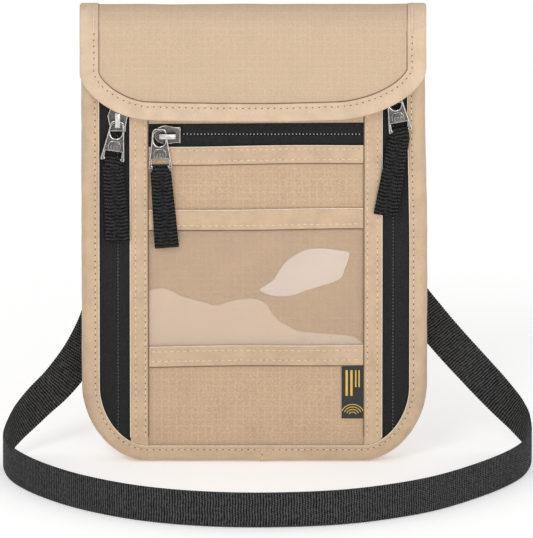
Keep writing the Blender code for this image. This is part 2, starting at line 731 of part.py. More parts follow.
def main():
    clear_scene()
    root = empty("pouch_origin", ORIGIN_OFFSET)
    make_shell(root)
    make_front(root)
    binding_edge = BODY_WIDTH / 2 - BINDING_WALL - GAP
    make_side_zip(root, "left", LEFT_CHAIN_X, LEFT_SEAM_X, -binding_edge, LEFT_SLIDER_Z)
    make_side_zip(root, "right", RIGHT_CHAIN_X, RIGHT_SEAM_X, binding_edge, RIGHT_SLIDER_Z)
    make_cross_zip(root)
    make_pulls(root)
    make_flap(root)
    make_strap(root)


main()
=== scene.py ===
import math

import bmesh
import bpy
import numpy as np
from mathutils import Matrix, Vector


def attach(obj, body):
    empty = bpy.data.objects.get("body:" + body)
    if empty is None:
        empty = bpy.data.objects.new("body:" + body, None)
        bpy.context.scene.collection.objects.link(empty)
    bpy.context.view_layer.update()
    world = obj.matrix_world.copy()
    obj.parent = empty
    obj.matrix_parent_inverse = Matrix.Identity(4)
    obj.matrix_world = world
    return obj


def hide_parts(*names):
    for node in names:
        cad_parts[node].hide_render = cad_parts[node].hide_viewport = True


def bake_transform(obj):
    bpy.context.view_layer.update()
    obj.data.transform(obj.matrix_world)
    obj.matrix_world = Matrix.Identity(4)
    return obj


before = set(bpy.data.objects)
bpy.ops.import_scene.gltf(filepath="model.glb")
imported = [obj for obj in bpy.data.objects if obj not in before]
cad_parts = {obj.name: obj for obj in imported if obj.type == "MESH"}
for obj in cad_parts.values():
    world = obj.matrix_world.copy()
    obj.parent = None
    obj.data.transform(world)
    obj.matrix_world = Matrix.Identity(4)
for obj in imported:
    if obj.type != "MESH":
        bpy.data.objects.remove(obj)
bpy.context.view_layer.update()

bl_info = {
    "name": "Neck pouch wallet",
    "version": (1, 0, 0),
    "blender": (4, 5, 0),
    "location": "3D View > Sidebar > Pouch",
    "description": "Builds the sewn and metal pieces of a neck pouch wallet round its fixed frame",
    "category": "Object",
}

# The middle of the pouch's base, in the frame. The sizes below are measured from it, in metres.
OFFSET = np.array((0.00025, 0.0032, 0.0))

BODY_HALF, BODY_TOP = 0.0725, 0.1883
BODY_CORNER = (0.027, 0.033, 1.9)
BODY_FRONT, BODY_BACK = -0.0070, 0.0070
FLAP_HALF, FLAP_SHIFT, FLAP_BOTTOM, FLAP_DROOP = 0.0724, -0.0006, 0.1495, 0.0007
FLAP_CORNERS = ((0.028, 0.020, 1.65), (0.038, 0.022, 1.75))
CROWN_FOOT, CROWN_RISE = 0.1888, 0.0094
TAPE_LAYER, FACE_LAYER = (-0.0070, -0.0062), (-0.0059, -0.0050)
LEFT_STRIP, RIGHT_STRIP = (-0.0520, -0.0446), (0.0460, 0.0534)
LEFT_SEAM, RIGHT_SEAM = -0.0484, 0.0496
PANEL_SIDES = (LEFT_SEAM + 0.0002, RIGHT_SEAM - 0.0002)
TAPE_SIDES = (LEFT_STRIP[1] + 0.0003, RIGHT_STRIP[0] - 0.0003)
STRIP_FOOT, STRIP_TOP = 0.0102, 0.1900
LEFT_CHAIN_X, RIGHT_CHAIN_X, CROSS_CHAIN_Z = -0.0572, 0.0581, 0.1425
LEFT_SLIDER_Z, RIGHT_SLIDER_Z, CROSS_SLIDER_X = 0.1495, 0.1618, -0.0363
RING_DROP, PULLER_PLANE, CROSS_RING_RISE, CROSSBAR_DROP = 0.00135, -0.0085, 0.00235, 0.0159
STRAP_SIDE_X = 0.054
RING_CENTRE = (0.0090, 0.16575)
ADJUSTER_Z, ADJUSTER_BAR_Y = 0.118, 0.0112
FASTENER_BOX = (-0.026, 0.026, 0.158, 0.176)
FORWARDS, BACKWARDS = (0.0, -1.0, 0.0), (0.0, 1.0, 0.0)

# Each tape across the front: its node, its foot and top, and its stitch rows.
TAPES = [
    ("pocket_top_tape", 0.1298, 0.1374, (0.13145, 0.1361)),
    ("window_top_tape", 0.1014, 0.1100, (0.1034,)),
    ("window_bottom_tape", 0.0423, 0.0508, (0.0447, 0.0489)),
]
# Each strip beside the panels: its node, its sides and its stitch rows.
STRIPS = [
    ("left_strip", LEFT_STRIP, (-0.0498, -0.0458)),
    ("right_strip", RIGHT_STRIP, (0.0474, 0.0515)),
]

# The line down the strap's middle: from its patch behind the left side, down and round in front on
# its edge, and up behind the right side to its adjuster.
STRAP_ROUTE = [
    (-0.0570, 0.0068, 0.1860), (-0.0570, 0.0068, 0.1720), (-0.0570, 0.0076, 0.1540),
    (-0.0574, 0.0086, 0.1300), (-0.0584, 0.0098, 0.1050), (-0.0606, 0.0114, 0.0820),
    (-0.0648, 0.0128, 0.0610), (-0.0722, 0.0135, 0.0440), (-0.0818, 0.0130, 0.0305),
    (-0.0910, 0.0095, 0.0220), (-0.0992, 0.0025, 0.0145), (-0.1040, -0.0075, 0.0095),
    (-0.1046, -0.0205, 0.0079), (-0.1000, -0.0400, 0.0078), (-0.0880, -0.0615, 0.0078),
    (-0.0700, -0.0815, 0.0078), (-0.0460, -0.0975, 0.0078), (-0.0180, -0.1060, 0.0078),
    (0.0120, -0.1070, 0.0078), (0.0420, -0.1010, 0.0078), (0.0710, -0.0850, 0.0078),
    (0.0930, -0.0620, 0.0078), (0.1085, -0.0380, 0.0078), (0.1150, -0.0180, 0.0082),
    (0.1153, -0.0030, 0.0110), (0.1106, 0.0065, 0.0165), (0.1026, 0.0125, 0.0242),
    (0.0928, 0.0150, 0.0345), (0.0830, 0.0152, 0.0455), (0.0735, 0.0150, 0.0570),
    (0.0640, 0.0138, 0.0700), (0.0572, 0.0116, 0.0850), (0.0541, 0.0094, 0.1010),
    (0.0540, 0.0082, 0.1160), (0.0540, 0.0077, 0.1380), (0.0540, 0.0070, 0.1600),
]


# ---- settings ----------------------------------------------------------------------------------


def length_setting(name, description, default):
    return bpy.props.FloatProperty(
        name=name, description=description, default=default, min=0.0, precision=5, unit="LENGTH"
    )


def colour_setting(name, description, default):
    return bpy.props.FloatVectorProperty(
        name=name, description=description, default=default, size=3, min=0.0, max=1.0, subtype="COLOR"
    )


class PouchSizes(bpy.types.PropertyGroup):
    """Sizes of the sewn detail."""

    stitch_pitch: length_setting("Stitch pitch", "From one stitch to the next", 0.00265)
    thread_radius: length_setting("Thread radius", "Radius of the sewing thread", 0.00020)
    binding_width: length_setting("Binding width", "Face width of the folded binding", 0.0073)
    strap_width: length_setting("Strap width", "Width of the neck strap", 0.015)
    strap_thickness: length_setting("Strap thickness", "Thickness of the neck strap", 0.0011)
    tab_width: length_setting("Tab width", "Width of the pull tabs' webbing", 0.010)
    tab_length: length_setting("Tab length", "Length of the pull tabs below the puller's bar", 0.035)
    rib_pitch: length_setting("Rib pitch", "From one rib of the webbing to the next", 0.00138)
    tooth_pitch: length_setting("Tooth pitch", "From one zip tooth to the next", 0.00147)


class PouchColours(bpy.types.PropertyGroup):
    """Base colours, as linear values."""

    flap: colour_setting("Flap fabric", "Ripstop of the flap", (0.610, 0.450, 0.308))
    fabric: colour_setting("Body fabric", "Ripstop of the front and back", (0.602, 0.424, 0.274))
    window: colour_setting("Window fabric", "Ripstop behind the window", (0.525, 0.328, 0.172))
    binding: colour_setting("Binding", "Folded binding, strips and tapes", (0.572, 0.412, 0.272))
    flap_binding: colour_setting("Flap binding", "Binding of the flap", (0.640, 0.482, 0.338))
    thread: colour_setting("Thread", "Sewing thread", (0.760, 0.600, 0.440))
    # Needle-hole shade: a dark colour painted as shade in the holes between stitches.
    needle_hole_shade: colour_setting("Needle holes", "Shaded holes between stitches", (0.120, 0.068, 0.038))
    # Seam shade: a dark colour painted as shade along the seams where tapes and bindings are sewn down.
    crease_shade: colour_setting("Creases", "Shade in the seams", (0.190, 0.120, 0.072))
    # A light colour painted as highlight on the folded edges of tapes, strips and the body binding.
    fold: colour_setting("Folds", "Light edges of folded tape", (0.800, 0.680, 0.550))
    lining: colour_setting("Lining", "Lining cloth", (0.450, 0.360, 0.270))
    webbing: colour_setting("Webbing", "Neck strap", (0.022, 0.022, 0.022))
    tab_webbing: colour_setting("Tab webbing", "Pull tabs", (0.010, 0.010, 0.010))
    zip_tape: colour_setting("Zip tape", "Woven zip tape", (0.018, 0.018, 0.018))
    # Painted glints on the zip teeth: light dots, brighter along the cross zip and dimmer down the side zips.
    zip_glints: colour_setting("Zip glints", "Teeth of the front zip", (0.780, 0.770, 0.760))
    side_zip_glints: colour_setting("Side zip glints", "Teeth of the side zips", (0.330, 0.325, 0.320))
    metal: colour_setting("Metal", "Antique nickel", (0.120, 0.113, 0.106))
    worn_metal: colour_setting("Worn metal", "Bright edges of the metal", (0.640, 0.620, 0.595))
    # The window's two pale colours are painted reflections of the lights in its clear film.
    glare: colour_setting("Window haze", "Pale area where the film stands off", (0.800, 0.605, 0.430))
    bright_glare: colour_setting("Bright haze", "Palest area where the film stands off", (0.780, 0.625, 0.515))
    gold: colour_setting("Gold thread", "Marks on the label", (0.720, 0.470, 0.090))


def sizes():
    """The sizes that the user can change."""
    return bpy.context.scene.pouch_sizes


def colours():
    """The colours that the user can change."""
    return bpy.context.scene.pouch_colours


# ---- materials ---------------------------------------------------------------------------------


class Shader:
    """A Principled material and the few node links that its finish is made of."""

    def __init__(self, name, colour, roughness, metallic=0.0):
        self.material = bpy.data.materials.new(name)
        self.material.use_nodes = True
        self.tree = self.material.node_tree
        self.base = self.tree.nodes["Principled BSDF"]
        self.colour = (*colour, 1.0)
        self.base.inputs["Base Color"].default_value = self.colour
        self.base.inputs["Roughness"].default_value = roughness
        self.base.inputs["Metallic"].default_value = metallic
        self.material.diffuse_color = self.colour
        self.place = self.node("ShaderNodeTexCoord").outputs["Object"]

    def node(self, kind, **settings):
        made = self.tree.nodes.new(kind)
        for key, value in settings.items():
            setattr(made, key, value)
        return made

    def link(self, a, b):
        self.tree.links.new(a, b)

    def wave(self, direction, pitch, distortion=0.0, detail_scale=1.0):
        """Bands across X, Y or Z, that many metres apart."""
        made = self.node("ShaderNodeTexWave", bands_direction=direction, wave_profile="SIN")
        made.inputs["Scale"].default_value = math.pi / (10.0 * pitch)
        made.inputs["Distortion"].default_value = distortion
        made.inputs["Detail"].default_value = 1.0
        made.inputs["Detail Scale"].default_value = detail_scale
        self.link(self.place, made.inputs["Vector"])
        return made.outputs["Fac"]

    def noise(self, size, detail=2.0, roughness=0.5):
        """Cloudy values with features of about that many metres."""
        made = self.node("ShaderNodeTexNoise")
        made.inputs["Scale"].default_value = 1.0 / size
        made.inputs["Detail"].default_value = detail
        made.inputs["Roughness"].default_value = roughness
        self.link(self.place, made.inputs["Vector"])
        return made.outputs["Fac"]

    def weave(self, across, down, distortion, detail_scale=1.0):
        """Threads both ways, those numbers of metres apart."""
        warp = self.wave("X", across, distortion, detail_scale)
        weft = self.wave("Z", down, distortion, detail_scale)
        return self.maths("MULTIPLY", warp, weft)

    def maths(self, operation, a, b):
        made = self.node("ShaderNodeMath", operation=operation)
        for socket, value in zip(made.inputs, (a, b)):
            if isinstance(value, (int, float)):
                socket.default_value = value
            else:
                self.link(value, socket)
        return made.outputs[0]

    def mixed(self, *parts):
        """The sum of several values, each given with its weight."""
        total = 0.0
        for value, weight in parts:
            total = self.maths("ADD", total, self.maths("MULTIPLY", value, weight))
        return total

    def shade(self, value, low, high, dark, light):
        """Colours the surface from dark to light times its base colour, by value."""
        made = self.node("ShaderNodeValToRGB")
        for stop, place, factor in zip(made.color_ramp.elements, (low, high), (dark, light)):
            stop.position = place
            stop.color = (*(min(c * factor, 1.0) for c in self.colour[:3]), 1.0)
        self.link(value, made.inputs["Fac"])
        self.link(made.outputs["Color"], self.base.inputs["Base Color"])

    def bump(self, height, strength, distance):
        made = self.node("ShaderNodeBump")
        made.inputs["Strength"].default_value = strength
        made.inputs["Distance"].default_value = distance
        self.link(height, made.inputs["Height"])
        self.link(made.outputs["Normal"], self.base.inputs["Normal"])

    def roughness(self, value, low, high):
        made = self.node("ShaderNodeMapRange")
        made.inputs["To Min"].default_value = low
        made.inputs["To Max"].default_value = high
        self.link(value, made.inputs["Value"])
        self.link(made.outputs["Result"], self.base.inputs["Roughness"])


def material(name):
    """The material of that name, made the first time it is asked for."""
    found = bpy.data.materials.get(f"pouch_{name}")
    return found or MAKERS[name](f"pouch_{name}")


def ripstop(colour, contrast):
    """Plain weave with slightly heavier threads in a small grid, and cloudy dyeing."""

    def make(name):
        shader = Shader(name, getattr(colours(), colour), 0.82)
        shader.base.inputs["Sheen Weight"].default_value = 0.08
        weave = shader.weave(0.00052, 0.00050, 0.6, 2.0)
        grid_x = shader.maths("POWER", shader.wave("X", 0.0031, 0.25, 1.0), 9.0)
        grid_z = shader.maths("POWER", shader.wave("Z", 0.0029, 0.25, 1.0), 9.0)
        grid = shader.maths("MAXIMUM", grid_x, grid_z)
        clouds = shader.noise(0.011, 3.0)
        specks = shader.noise(0.0007, 2.0, 0.7)
        value = shader.mixed((clouds, 0.17), (specks, 0.62), (weave, 0.14), (grid, 0.07))
        shader.shade(value, 0.25, 0.75, 1 - 0.17 * contrast, 1 + 0.13 * contrast)
        shader.bump(shader.mixed((weave, 1.0), (grid, 0.8)), 0.45, 0.00018)
        shader.roughness(specks, 0.72, 0.92)
        return shader.material

    return make


def smooth_tape(colour):
    """Closely woven tape: a fine rib, faint clouds and a soft surface."""

    def make(name):
        shader = Shader(name, getattr(colours(), colour), 0.78)
        shader.base.inputs["Sheen Weight"].default_value = 0.10
        threads = shader.wave("DIAGONAL", 0.00042, 0.5, 2.0)
        clouds = shader.noise(0.006, 3.0)
        specks = shader.noise(0.0006, 2.0, 0.6)
        value = shader.mixed((clouds, 0.5), (specks, 0.40), (threads, 0.10))
        shader.shade(value, 0.25, 0.75, 0.78, 1.19)
        shader.bump(threads, 0.30, 0.00012)
        shader.roughness(specks, 0.70, 0.88)
        return shader.material

    return make


def plain_cloth(colour, roughness=0.85):
    def make(name):
        value = getattr(colours(), colour) if isinstance(colour, str) else colour
        shader = Shader(name, value, roughness)
        shader.shade(shader.noise(0.002, 3.0), 0.25, 0.75, 0.86, 1.12)
        shader.bump(shader.weave(0.0006, 0.0006, 0.4), 0.4, 0.0002)
        return shader.material

    return make


def black_weave(colour):
    """Black yarn, lighter in small cloudy patches which the bump also raises."""

    def make(name):
        shader = Shader(name, getattr(colours(), colour), 0.62)
        shader.base.inputs["Specular IOR Level"].default_value = 0.10
        grey_patches = shader.noise(0.0005, 3.0, 0.65)
        threads = shader.weave(0.0007, 0.0006, 0.8)
        shader.shade(grey_patches, 0.3, 0.75, 0.55, 1.8)
        shader.bump(shader.maths("ADD", grey_patches, threads), 0.5, 0.00015)
        shader.roughness(grey_patches, 0.50, 0.75)
        return shader.material

    return make


def webbing(colour, worn):
    """Black webbing: ribs across it, broken into small beads, painted grey on their tops as highlight and
    dark between them as shade.
    """

    def make(name):
        shader = Shader(name, getattr(colours(), colour), 0.62)
        shader.base.inputs["Specular IOR Level"].default_value = 0.10
        parts = shader.node("ShaderNodeSeparateXYZ")
        weave = shader.node("ShaderNodeAttribute", attribute_name="weave")
        shader.link(weave.outputs["Vector"], parts.inputs[0])
        side, turns, show = parts.outputs
        half_turns = shader.maths("MULTIPLY", turns, math.pi)
        rib = shader.maths("COSINE", shader.maths("MULTIPLY", half_turns, 2.0), 0.0)
        across = shader.maths("MULTIPLY", side, 2 * math.pi / 0.00098)
        bead = shader.maths("COSINE", shader.maths("ADD", across, half_turns), 0.0)
        ribs = shader.maths("MULTIPLY", shader.mixed((rib, 0.26), (bead, 0.12)), show)
        value = shader.mixed((ribs, 1.0), (shader.noise(0.0011, 3.0), 0.9))
        # The rib and bead tops are painted up to worn times the base colour as highlight, the hollows down to
        # 0.12 times as shade.
        shader.shade(value, 0.22, 0.86, 0.12, worn)
        shader.bump(value, 0.6, 0.0003)
        return shader.material

    return make


def yarn(colour):
    def make(name):
        shader = Shader(name, getattr(colours(), colour), 0.6)
        shader.shade(shader.noise(0.0006, 2.0), 0.3, 0.7, 0.85, 1.15)
        shader.bump(shader.wave("DIAGONAL", 0.0003), 0.4, 0.0001)
        return shader.material

    return make


def cast_metal(colour, low, high):
    """Die cast metal with a worn, slightly mottled surface."""

    def make(name):
        shader = Shader(name, getattr(colours(), colour), 0.35, 1.0)
        wear = shader.noise(0.0011, 4.0, 0.6)
        shader.shade(wear, 0.3, 0.7, 0.65, 1.30)
        shader.bump(shader.noise(0.0004, 3.0), 0.25, 0.0001)
        shader.roughness(wear, low, high)
        return shader.material

    return make


def clear_film(name):
    """Flexible clear film, seen mostly by its gloss."""
    shader = Shader(name, (0.86, 0.80, 0.72), 0.16)
    shader.base.inputs["Alpha"].default_value = 0.10
    shader.base.inputs["IOR"].default_value = 1.5
    shader.bump(shader.noise(0.009, 2.0), 0.15, 0.0006)
    shader.roughness(shader.noise(0.004, 2.0), 0.12, 0.24)
    shader.material.surface_render_method = "BLENDED"
    return shader.material


def glare(colour, cover):
    """A pale patch of painted reflection of the lights in the window's film; the weave still shows through
    it.
    """

    def make(name):
        shader = Shader(name, getattr(colours(), colour), 0.35)
        shader.base.inputs["Alpha"].default_value = cover
        value = shader.mixed((shader.noise(0.012, 2.0), 1.0), (shader.weave(0.0010, 0.0010, 0.5), 0.25))
        shader.shade(value, 0.3, 0.9, 0.95, 1.03)
        shader.material.surface_render_method = "BLENDED"
        return shader.material

    return make


def moulded(name):
    shader = Shader(name, (0.024, 0.024, 0.025), 0.42)
    shader.bump(shader.noise(0.0005, 3.0), 0.2, 0.0001)
    shader.shade(shader.noise(0.004, 3.0), 0.3, 0.7, 0.85, 1.2)
    return shader.material


def foil(name):
    shader = Shader(name, (0.40, 0.41, 0.42), 0.42, 0.6)
    shader.bump(shader.noise(0.003, 4.0), 0.5, 0.0005)
    shader.roughness(shader.noise(0.002, 3.0), 0.32, 0.55)
    return shader.material


def foam(name):
    shader = Shader(name, (0.20, 0.20, 0.20), 0.95)
    shader.bump(shader.noise(0.0008, 4.0, 0.7), 0.8, 0.0004)
    shader.shade(shader.noise(0.001, 3.0), 0.3, 0.7, 0.7, 1.25)
    return shader.material


def hook_and_loop(name):
    shader = Shader(name, (0.50, 0.40, 0.29), 0.95)
    fuzz = shader.noise(0.0006, 4.0, 0.8)
    shader.shade(fuzz, 0.3, 0.7, 0.7, 1.25)
    shader.bump(fuzz, 0.9, 0.0006)
    return shader.material


def floor_finish(name):
    shader = Shader(name, (0.95, 0.95, 0.95), 0.9)
    shader.base.inputs["Emission Color"].default_value = (1.0, 1.0, 1.0, 1.0)
    shader.base.inputs["Emission Strength"].default_value = 0.25
    shader.base.inputs["Specular IOR Level"].default_value = 0.0
    shader.shade(shader.noise(0.8, 1.0), 0.3, 0.7, 0.998, 1.002)
    return shader.material


MAKERS = {
    "ripstop": ripstop("fabric", 1.9),
    "flap_ripstop": ripstop("flap", 1.0),
    "window_ripstop": ripstop("window", 2.2),
    "binding": smooth_tape("binding"),
    "flap_binding": smooth_tape("flap_binding"),
    "thread": yarn("thread"),
    # Painted shade in the needle holes.
    "needle_hole_shade": yarn("needle_hole_shade"),
    # Painted shade in the seams.
    "crease_shade": yarn("crease_shade"),
    # Painted highlight on folded edges.
    "fold": yarn("fold"),
    "lining": plain_cloth("lining"),
    "foil": foil,
    "foam": foam,
    "film": clear_film,
    # Painted reflections of the lights in the window's film.
    "glare": glare("glare", 0.65),
    "bright_glare": glare("bright_glare", 0.85),
    # Webbing with painted highlight on the rib tops and painted shade between them.
    "webbing": webbing("webbing", 4.2),
    "tab_webbing": webbing("tab_webbing", 4.0),
    "zip_tape": black_weave("zip_tape"),
    # Painted glints on the zip teeth.
    "zip_glints": yarn("zip_glints"),
    "side_zip_glints": yarn("side_zip_glints"),
    "metal": cast_metal("metal", 0.22, 0.45),
    "worn_metal": cast_metal("worn_metal", 0.18, 0.34),
    "label": plain_cloth((0.016, 0.016, 0.017), 0.45),
    "gold": yarn("gold"),
    "hook_loop": hook_and_loop,
    "moulded": moulded,
    "floor": floor_finish,
}


# ---- mesh helpers ------------------------------------------------------------------------------


def grid_faces(rows, columns, wrap_columns=False):
    """Quads of a grid of points in row order, closed round its columns if asked."""
    last = columns if wrap_columns else columns - 1
    r, c = np.meshgrid(np.arange(rows - 1), np.arange(last), indexing="ij")
    after = (c + 1) % columns
    quads = [r * columns + c, r * columns + after, (r + 1) * columns + after, (r + 1) * columns + c]
    return np.stack(quads, -1).reshape(-1, 4)


class Shape:
    """Points and faces gathered from several simple forms, each with its material's number."""

    def __init__(self):
        self.points, self.faces, self.kinds, self.weaves, self.count = [], [], [], [], 0

    def join(self, points, faces, kind=0, weave=None):
        points = np.asarray(points, float).reshape(-1, 3)
        self.points.append(points)
        self.weaves.append(np.zeros(points.shape) if weave is None else weave)
        self.faces += [[int(i) + self.count for i in face] for face in faces]
        kinds = kind if hasattr(kind, "__len__") else [kind] * len(faces)
        self.kinds += list(kinds)
        self.count += len(points)
        return self

    def moved(self, matrix):
        """The same shape, carried by a 4 x 4 matrix."""
        turn = np.array(matrix)
        made = Shape()
        made.points = [p @ turn[:3, :3].T + turn[:3, 3] for p in self.points]
        made.faces, made.kinds, made.weaves, made.count = self.faces, self.kinds, self.weaves, self.count
        return made

    def add(self, other):
        points, weaves = np.concatenate(other.points), np.concatenate(other.weaves)
        return self.join(points, other.faces, list(other.kinds), weaves)

    def build(self, name, materials, slot=None, replaces=(), body="pouch", angle=40, ride=True):
        """The finished piece in the frame, riding on its body unless ride is off."""
        mesh = bpy.data.meshes.new(name)
        points = np.concatenate(self.points) + OFFSET
        mesh.from_pydata(points.tolist(), [], self.faces)
        for item in materials:
            mesh.materials.append(material(item))
        mesh.polygons.foreach_set("material_index", np.array(self.kinds, np.int32))
        weave = np.concatenate(self.weaves)
        if weave.any():
            mesh.attributes.new("weave", "FLOAT_VECTOR", "POINT").data.foreach_set("vector", weave.ravel())
        bm = bmesh.new()
        bm.from_mesh(mesh)
        bmesh.ops.recalc_face_normals(bm, faces=bm.faces)
        bm.to_mesh(mesh)
        bm.free()
        mesh.shade_smooth()
        mesh.set_sharp_from_angle(angle=math.radians(angle))
        made = bpy.data.objects.new(name, mesh)
        bpy.context.scene.collection.objects.link(made)
        if ride:
            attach(made, body)
        if replaces:
            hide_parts(*replaces)
        return made


def unit(vectors):
    """The vectors, each made 1 long."""
    return vectors / np.linalg.norm(vectors, axis=-1, keepdims=True)


def directions(path):
    """The way that a path runs at each of its points."""
    return unit(np.gradient(path, axis=0))


def lengths(path):
    """How far along the path each of its points lies."""
    return np.concatenate([[0.0], np.cumsum(np.linalg.norm(np.diff(path, axis=0), axis=1))])


def bell(distance, width):
    """1 at no distance, falling smoothly to nothing over about two widths."""
    return np.exp(-((distance / width) ** 2))


def upright(path, y):
    """The (x, z) path as points at that depth."""
    return np.stack([path[:, 0], np.full(len(path), y), path[:, 1]], -1)


def sideways(path, x):
    """The (y, z) path as points at that place across."""
    return np.stack([np.full(len(path), x), path[:, 0], path[:, 1]], -1)


def ripple(a, b, size, seed):
    """Smooth unevenness between about -1 and 1, with features of that size."""
    phase = seed * 1.7
    a, b = np.asarray(a) / size, np.asarray(b) / size
    total = np.sin(2.1 * a + 1.3 * b + phase) + np.sin(-1.4 * a + 2.7 * b + 2.3 * phase)
    total = total + np.sin(3.7 * a + 0.6 * b + 0.7 * phase) + np.sin(0.5 * a - 3.9 * b + 1.9 * phase)
    return total / 4.0


def spaced(low, high, step, edge):
    """Values from low to high, closer together near both ends."""
    near = np.array([0.0, 0.08, 0.25, 0.55, 1.0]) * edge
    inner = np.linspace(low + edge, high - edge, max(int((high - low - 2 * edge) / step), 1) + 1)
    return np.concatenate([low + near[:-1], inner, high - near[:-1][::-1]])


def slab(left, right, lower, upper, layer, relief=None, edge=0.0006, step=0.0015, back_relief=None):
    """A flat piece of cloth with rounded edges. lower and upper give its foot and top at each x,
    and relief how far each point of its front stands out."""
    front, back = layer
    edge = min(edge, (right - left) * 0.3)
    xs = spaced(left, right, step, edge)
    foot = np.array([lower(x) for x in xs]) if callable(lower) else np.full(len(xs), lower)
    top = np.array([upper(x) for x in xs]) if callable(upper) else np.full(len(xs), upper)
    tallest = float((top - foot).max())
    v = spaced(0.0, 1.0, step / tallest, min(edge / tallest, 0.3))
    x = np.repeat(xs[:, None], len(v), 1)
    z = foot[:, None] + (top - foot)[:, None] * v[None, :]
    margin = np.minimum(np.minimum(x - left, right - x), np.minimum(z - foot[:, None], top[:, None] - z))
    depth = np.clip(1.0 - margin / edge, 0.0, 1.0)
    drop = (1.0 - np.sqrt(1.0 - depth**2)) * min((back - front) * 0.8, edge)
    face = np.full_like(x, front) + drop
    if relief is not None:
        face = face - relief(x, z) * (1.0 - depth**2)
    rear = np.full_like(x, back)
    if back_relief is not None:
        rear = rear + back_relief(x, z) * (1.0 - depth**2)
    points = [np.stack([x, y, z], -1).reshape(-1, 3) for y in (face, rear)]
    rows, columns = x.shape
    count = rows * columns
    quads = grid_faces(rows, columns)
    faces = quads.tolist() + (quads[:, ::-1] + count).tolist()
    rim = [i * columns for i in range(rows)]
    rim += [(rows - 1) * columns + j for j in range(1, columns)]
    rim += [i * columns + columns - 1 for i in range(rows - 2, -1, -1)]
    rim += [j for j in range(columns - 2, 0, -1)]
    for a, b in zip(rim, rim[1:] + rim[:1]):
        faces.append([a, b, b + count, a + count])
    return Shape().join(np.concatenate(points), faces)


def evenly(points, step):
    """The polyline through the points, resampled so that its points are step apart."""
    points = np.asarray(points, float)
    along = lengths(points)
    places = np.linspace(0.0, along[-1], max(int(round(along[-1] / step)), 1) + 1)
    return np.stack([np.interp(places, along, points[:, k]) for k in range(points.shape[1])], -1)


def corner_curve(half, bottom, corner):
    """(x, z) round the lower right corner, from its side to its foot."""
    width, height, power = corner
    angle = np.linspace(0.0, math.pi / 2, 60)
    across = np.cos(angle).clip(0) ** (2 / power) * width
    down = np.sin(angle) ** (2 / power) * height
    return np.stack([half - width + across, bottom + height - down], -1)


def u_outline(half, top, bottom, corners, droop=0.0, step=0.0009):
    """(x, z) down the left side, round the bottom and up the right side."""
    left, right = (corner_curve(half, bottom, corner) for corner in corners)
    x = np.linspace(-left[-1][0], right[-1][0], 60)[1:-1]
    reach = np.where(x < 0, left[-1][0], right[-1][0])
    base = np.stack([x, bottom - droop * (1 - (x / reach) ** 2)], -1)
    path = np.concatenate([[(-half, top)], left * (-1, 1), base, right[::-1], [(half, top)]])
    return evenly(path, step)


def inward(path):
    """Unit (x, z) normals towards the inside of such an outline."""
    along = np.gradient(path, axis=0)
    for _ in range(3):
        along[1:-1] = (along[:-2] + 2 * along[1:-1] + along[2:]) / 4
    return turned(unit(along))


def turned(ways):
    """Flat directions turned a quarter to the left."""
    return np.stack([-ways[:, 1], ways[:, 0]], -1)


def body_outline():
    """(x, z) round the body. Its right side draws in a little towards the top."""
    path = u_outline(BODY_HALF, BODY_TOP, 0.0, (BODY_CORNER, BODY_CORNER))
    rise = np.clip((path[:, 1] - 0.09) / 0.07, 0, 1)
    taper = 0.0011 * rise * rise * (3 - 2 * rise)
    path[:, 0] -= np.where(path[:, 0] > 0, taper, 0.0)
    return path


def flap_outline():
    """(x, z) round the flap's hanging part, whose right corner is rounder than its left."""
    path = u_outline(FLAP_HALF, CROWN_FOOT, FLAP_BOTTOM + FLAP_DROOP, FLAP_CORNERS, FLAP_DROOP)
    return path + (FLAP_SHIFT, 0.0)


def foot_line(path, margin):
    """A function that gives the height of an outline's lower edge, drawn in by margin, at x."""
    path = path + inward(path) * margin
    low = path[path[:, 1] < path[:, 1].min() + 0.08]
    order = np.argsort(low[:, 0])
    xs, zs = low[order, 0], low[order, 1]
    return lambda x: float(np.interp(x, xs, zs))


def loft(rings):
    """A skin over rings of points, each ring closed on itself, with both ends closed."""
    rings = np.asarray(rings, float)
    rows, columns = rings.shape[:2]
    faces = grid_faces(rows, columns, True).tolist()
    faces.append(list(range(columns)))
    faces.append([(rows - 1) * columns + i for i in reversed(range(columns))])
    return Shape().join(rings.reshape(-1, 3), faces)


def tube(points, radius, sides=8):
    """A round bar along the points."""
    points = np.asarray(points, float)
    along = directions(points)
    guide = np.array((0.0, 0.0, 1.0)) if abs(along[0][2]) < 0.9 else np.array((1.0, 0.0, 0.0))
    turn = np.linspace(0, 2 * math.pi, sides, endpoint=False)[:, None]
    rings = []
    for p, t in zip(points, along):
        side = unit(np.cross(t, guide))
        guide = np.cross(side, t)
        rings.append(p + radius * (np.cos(turn) * side + np.sin(turn) * guide))
    return loft(rings)


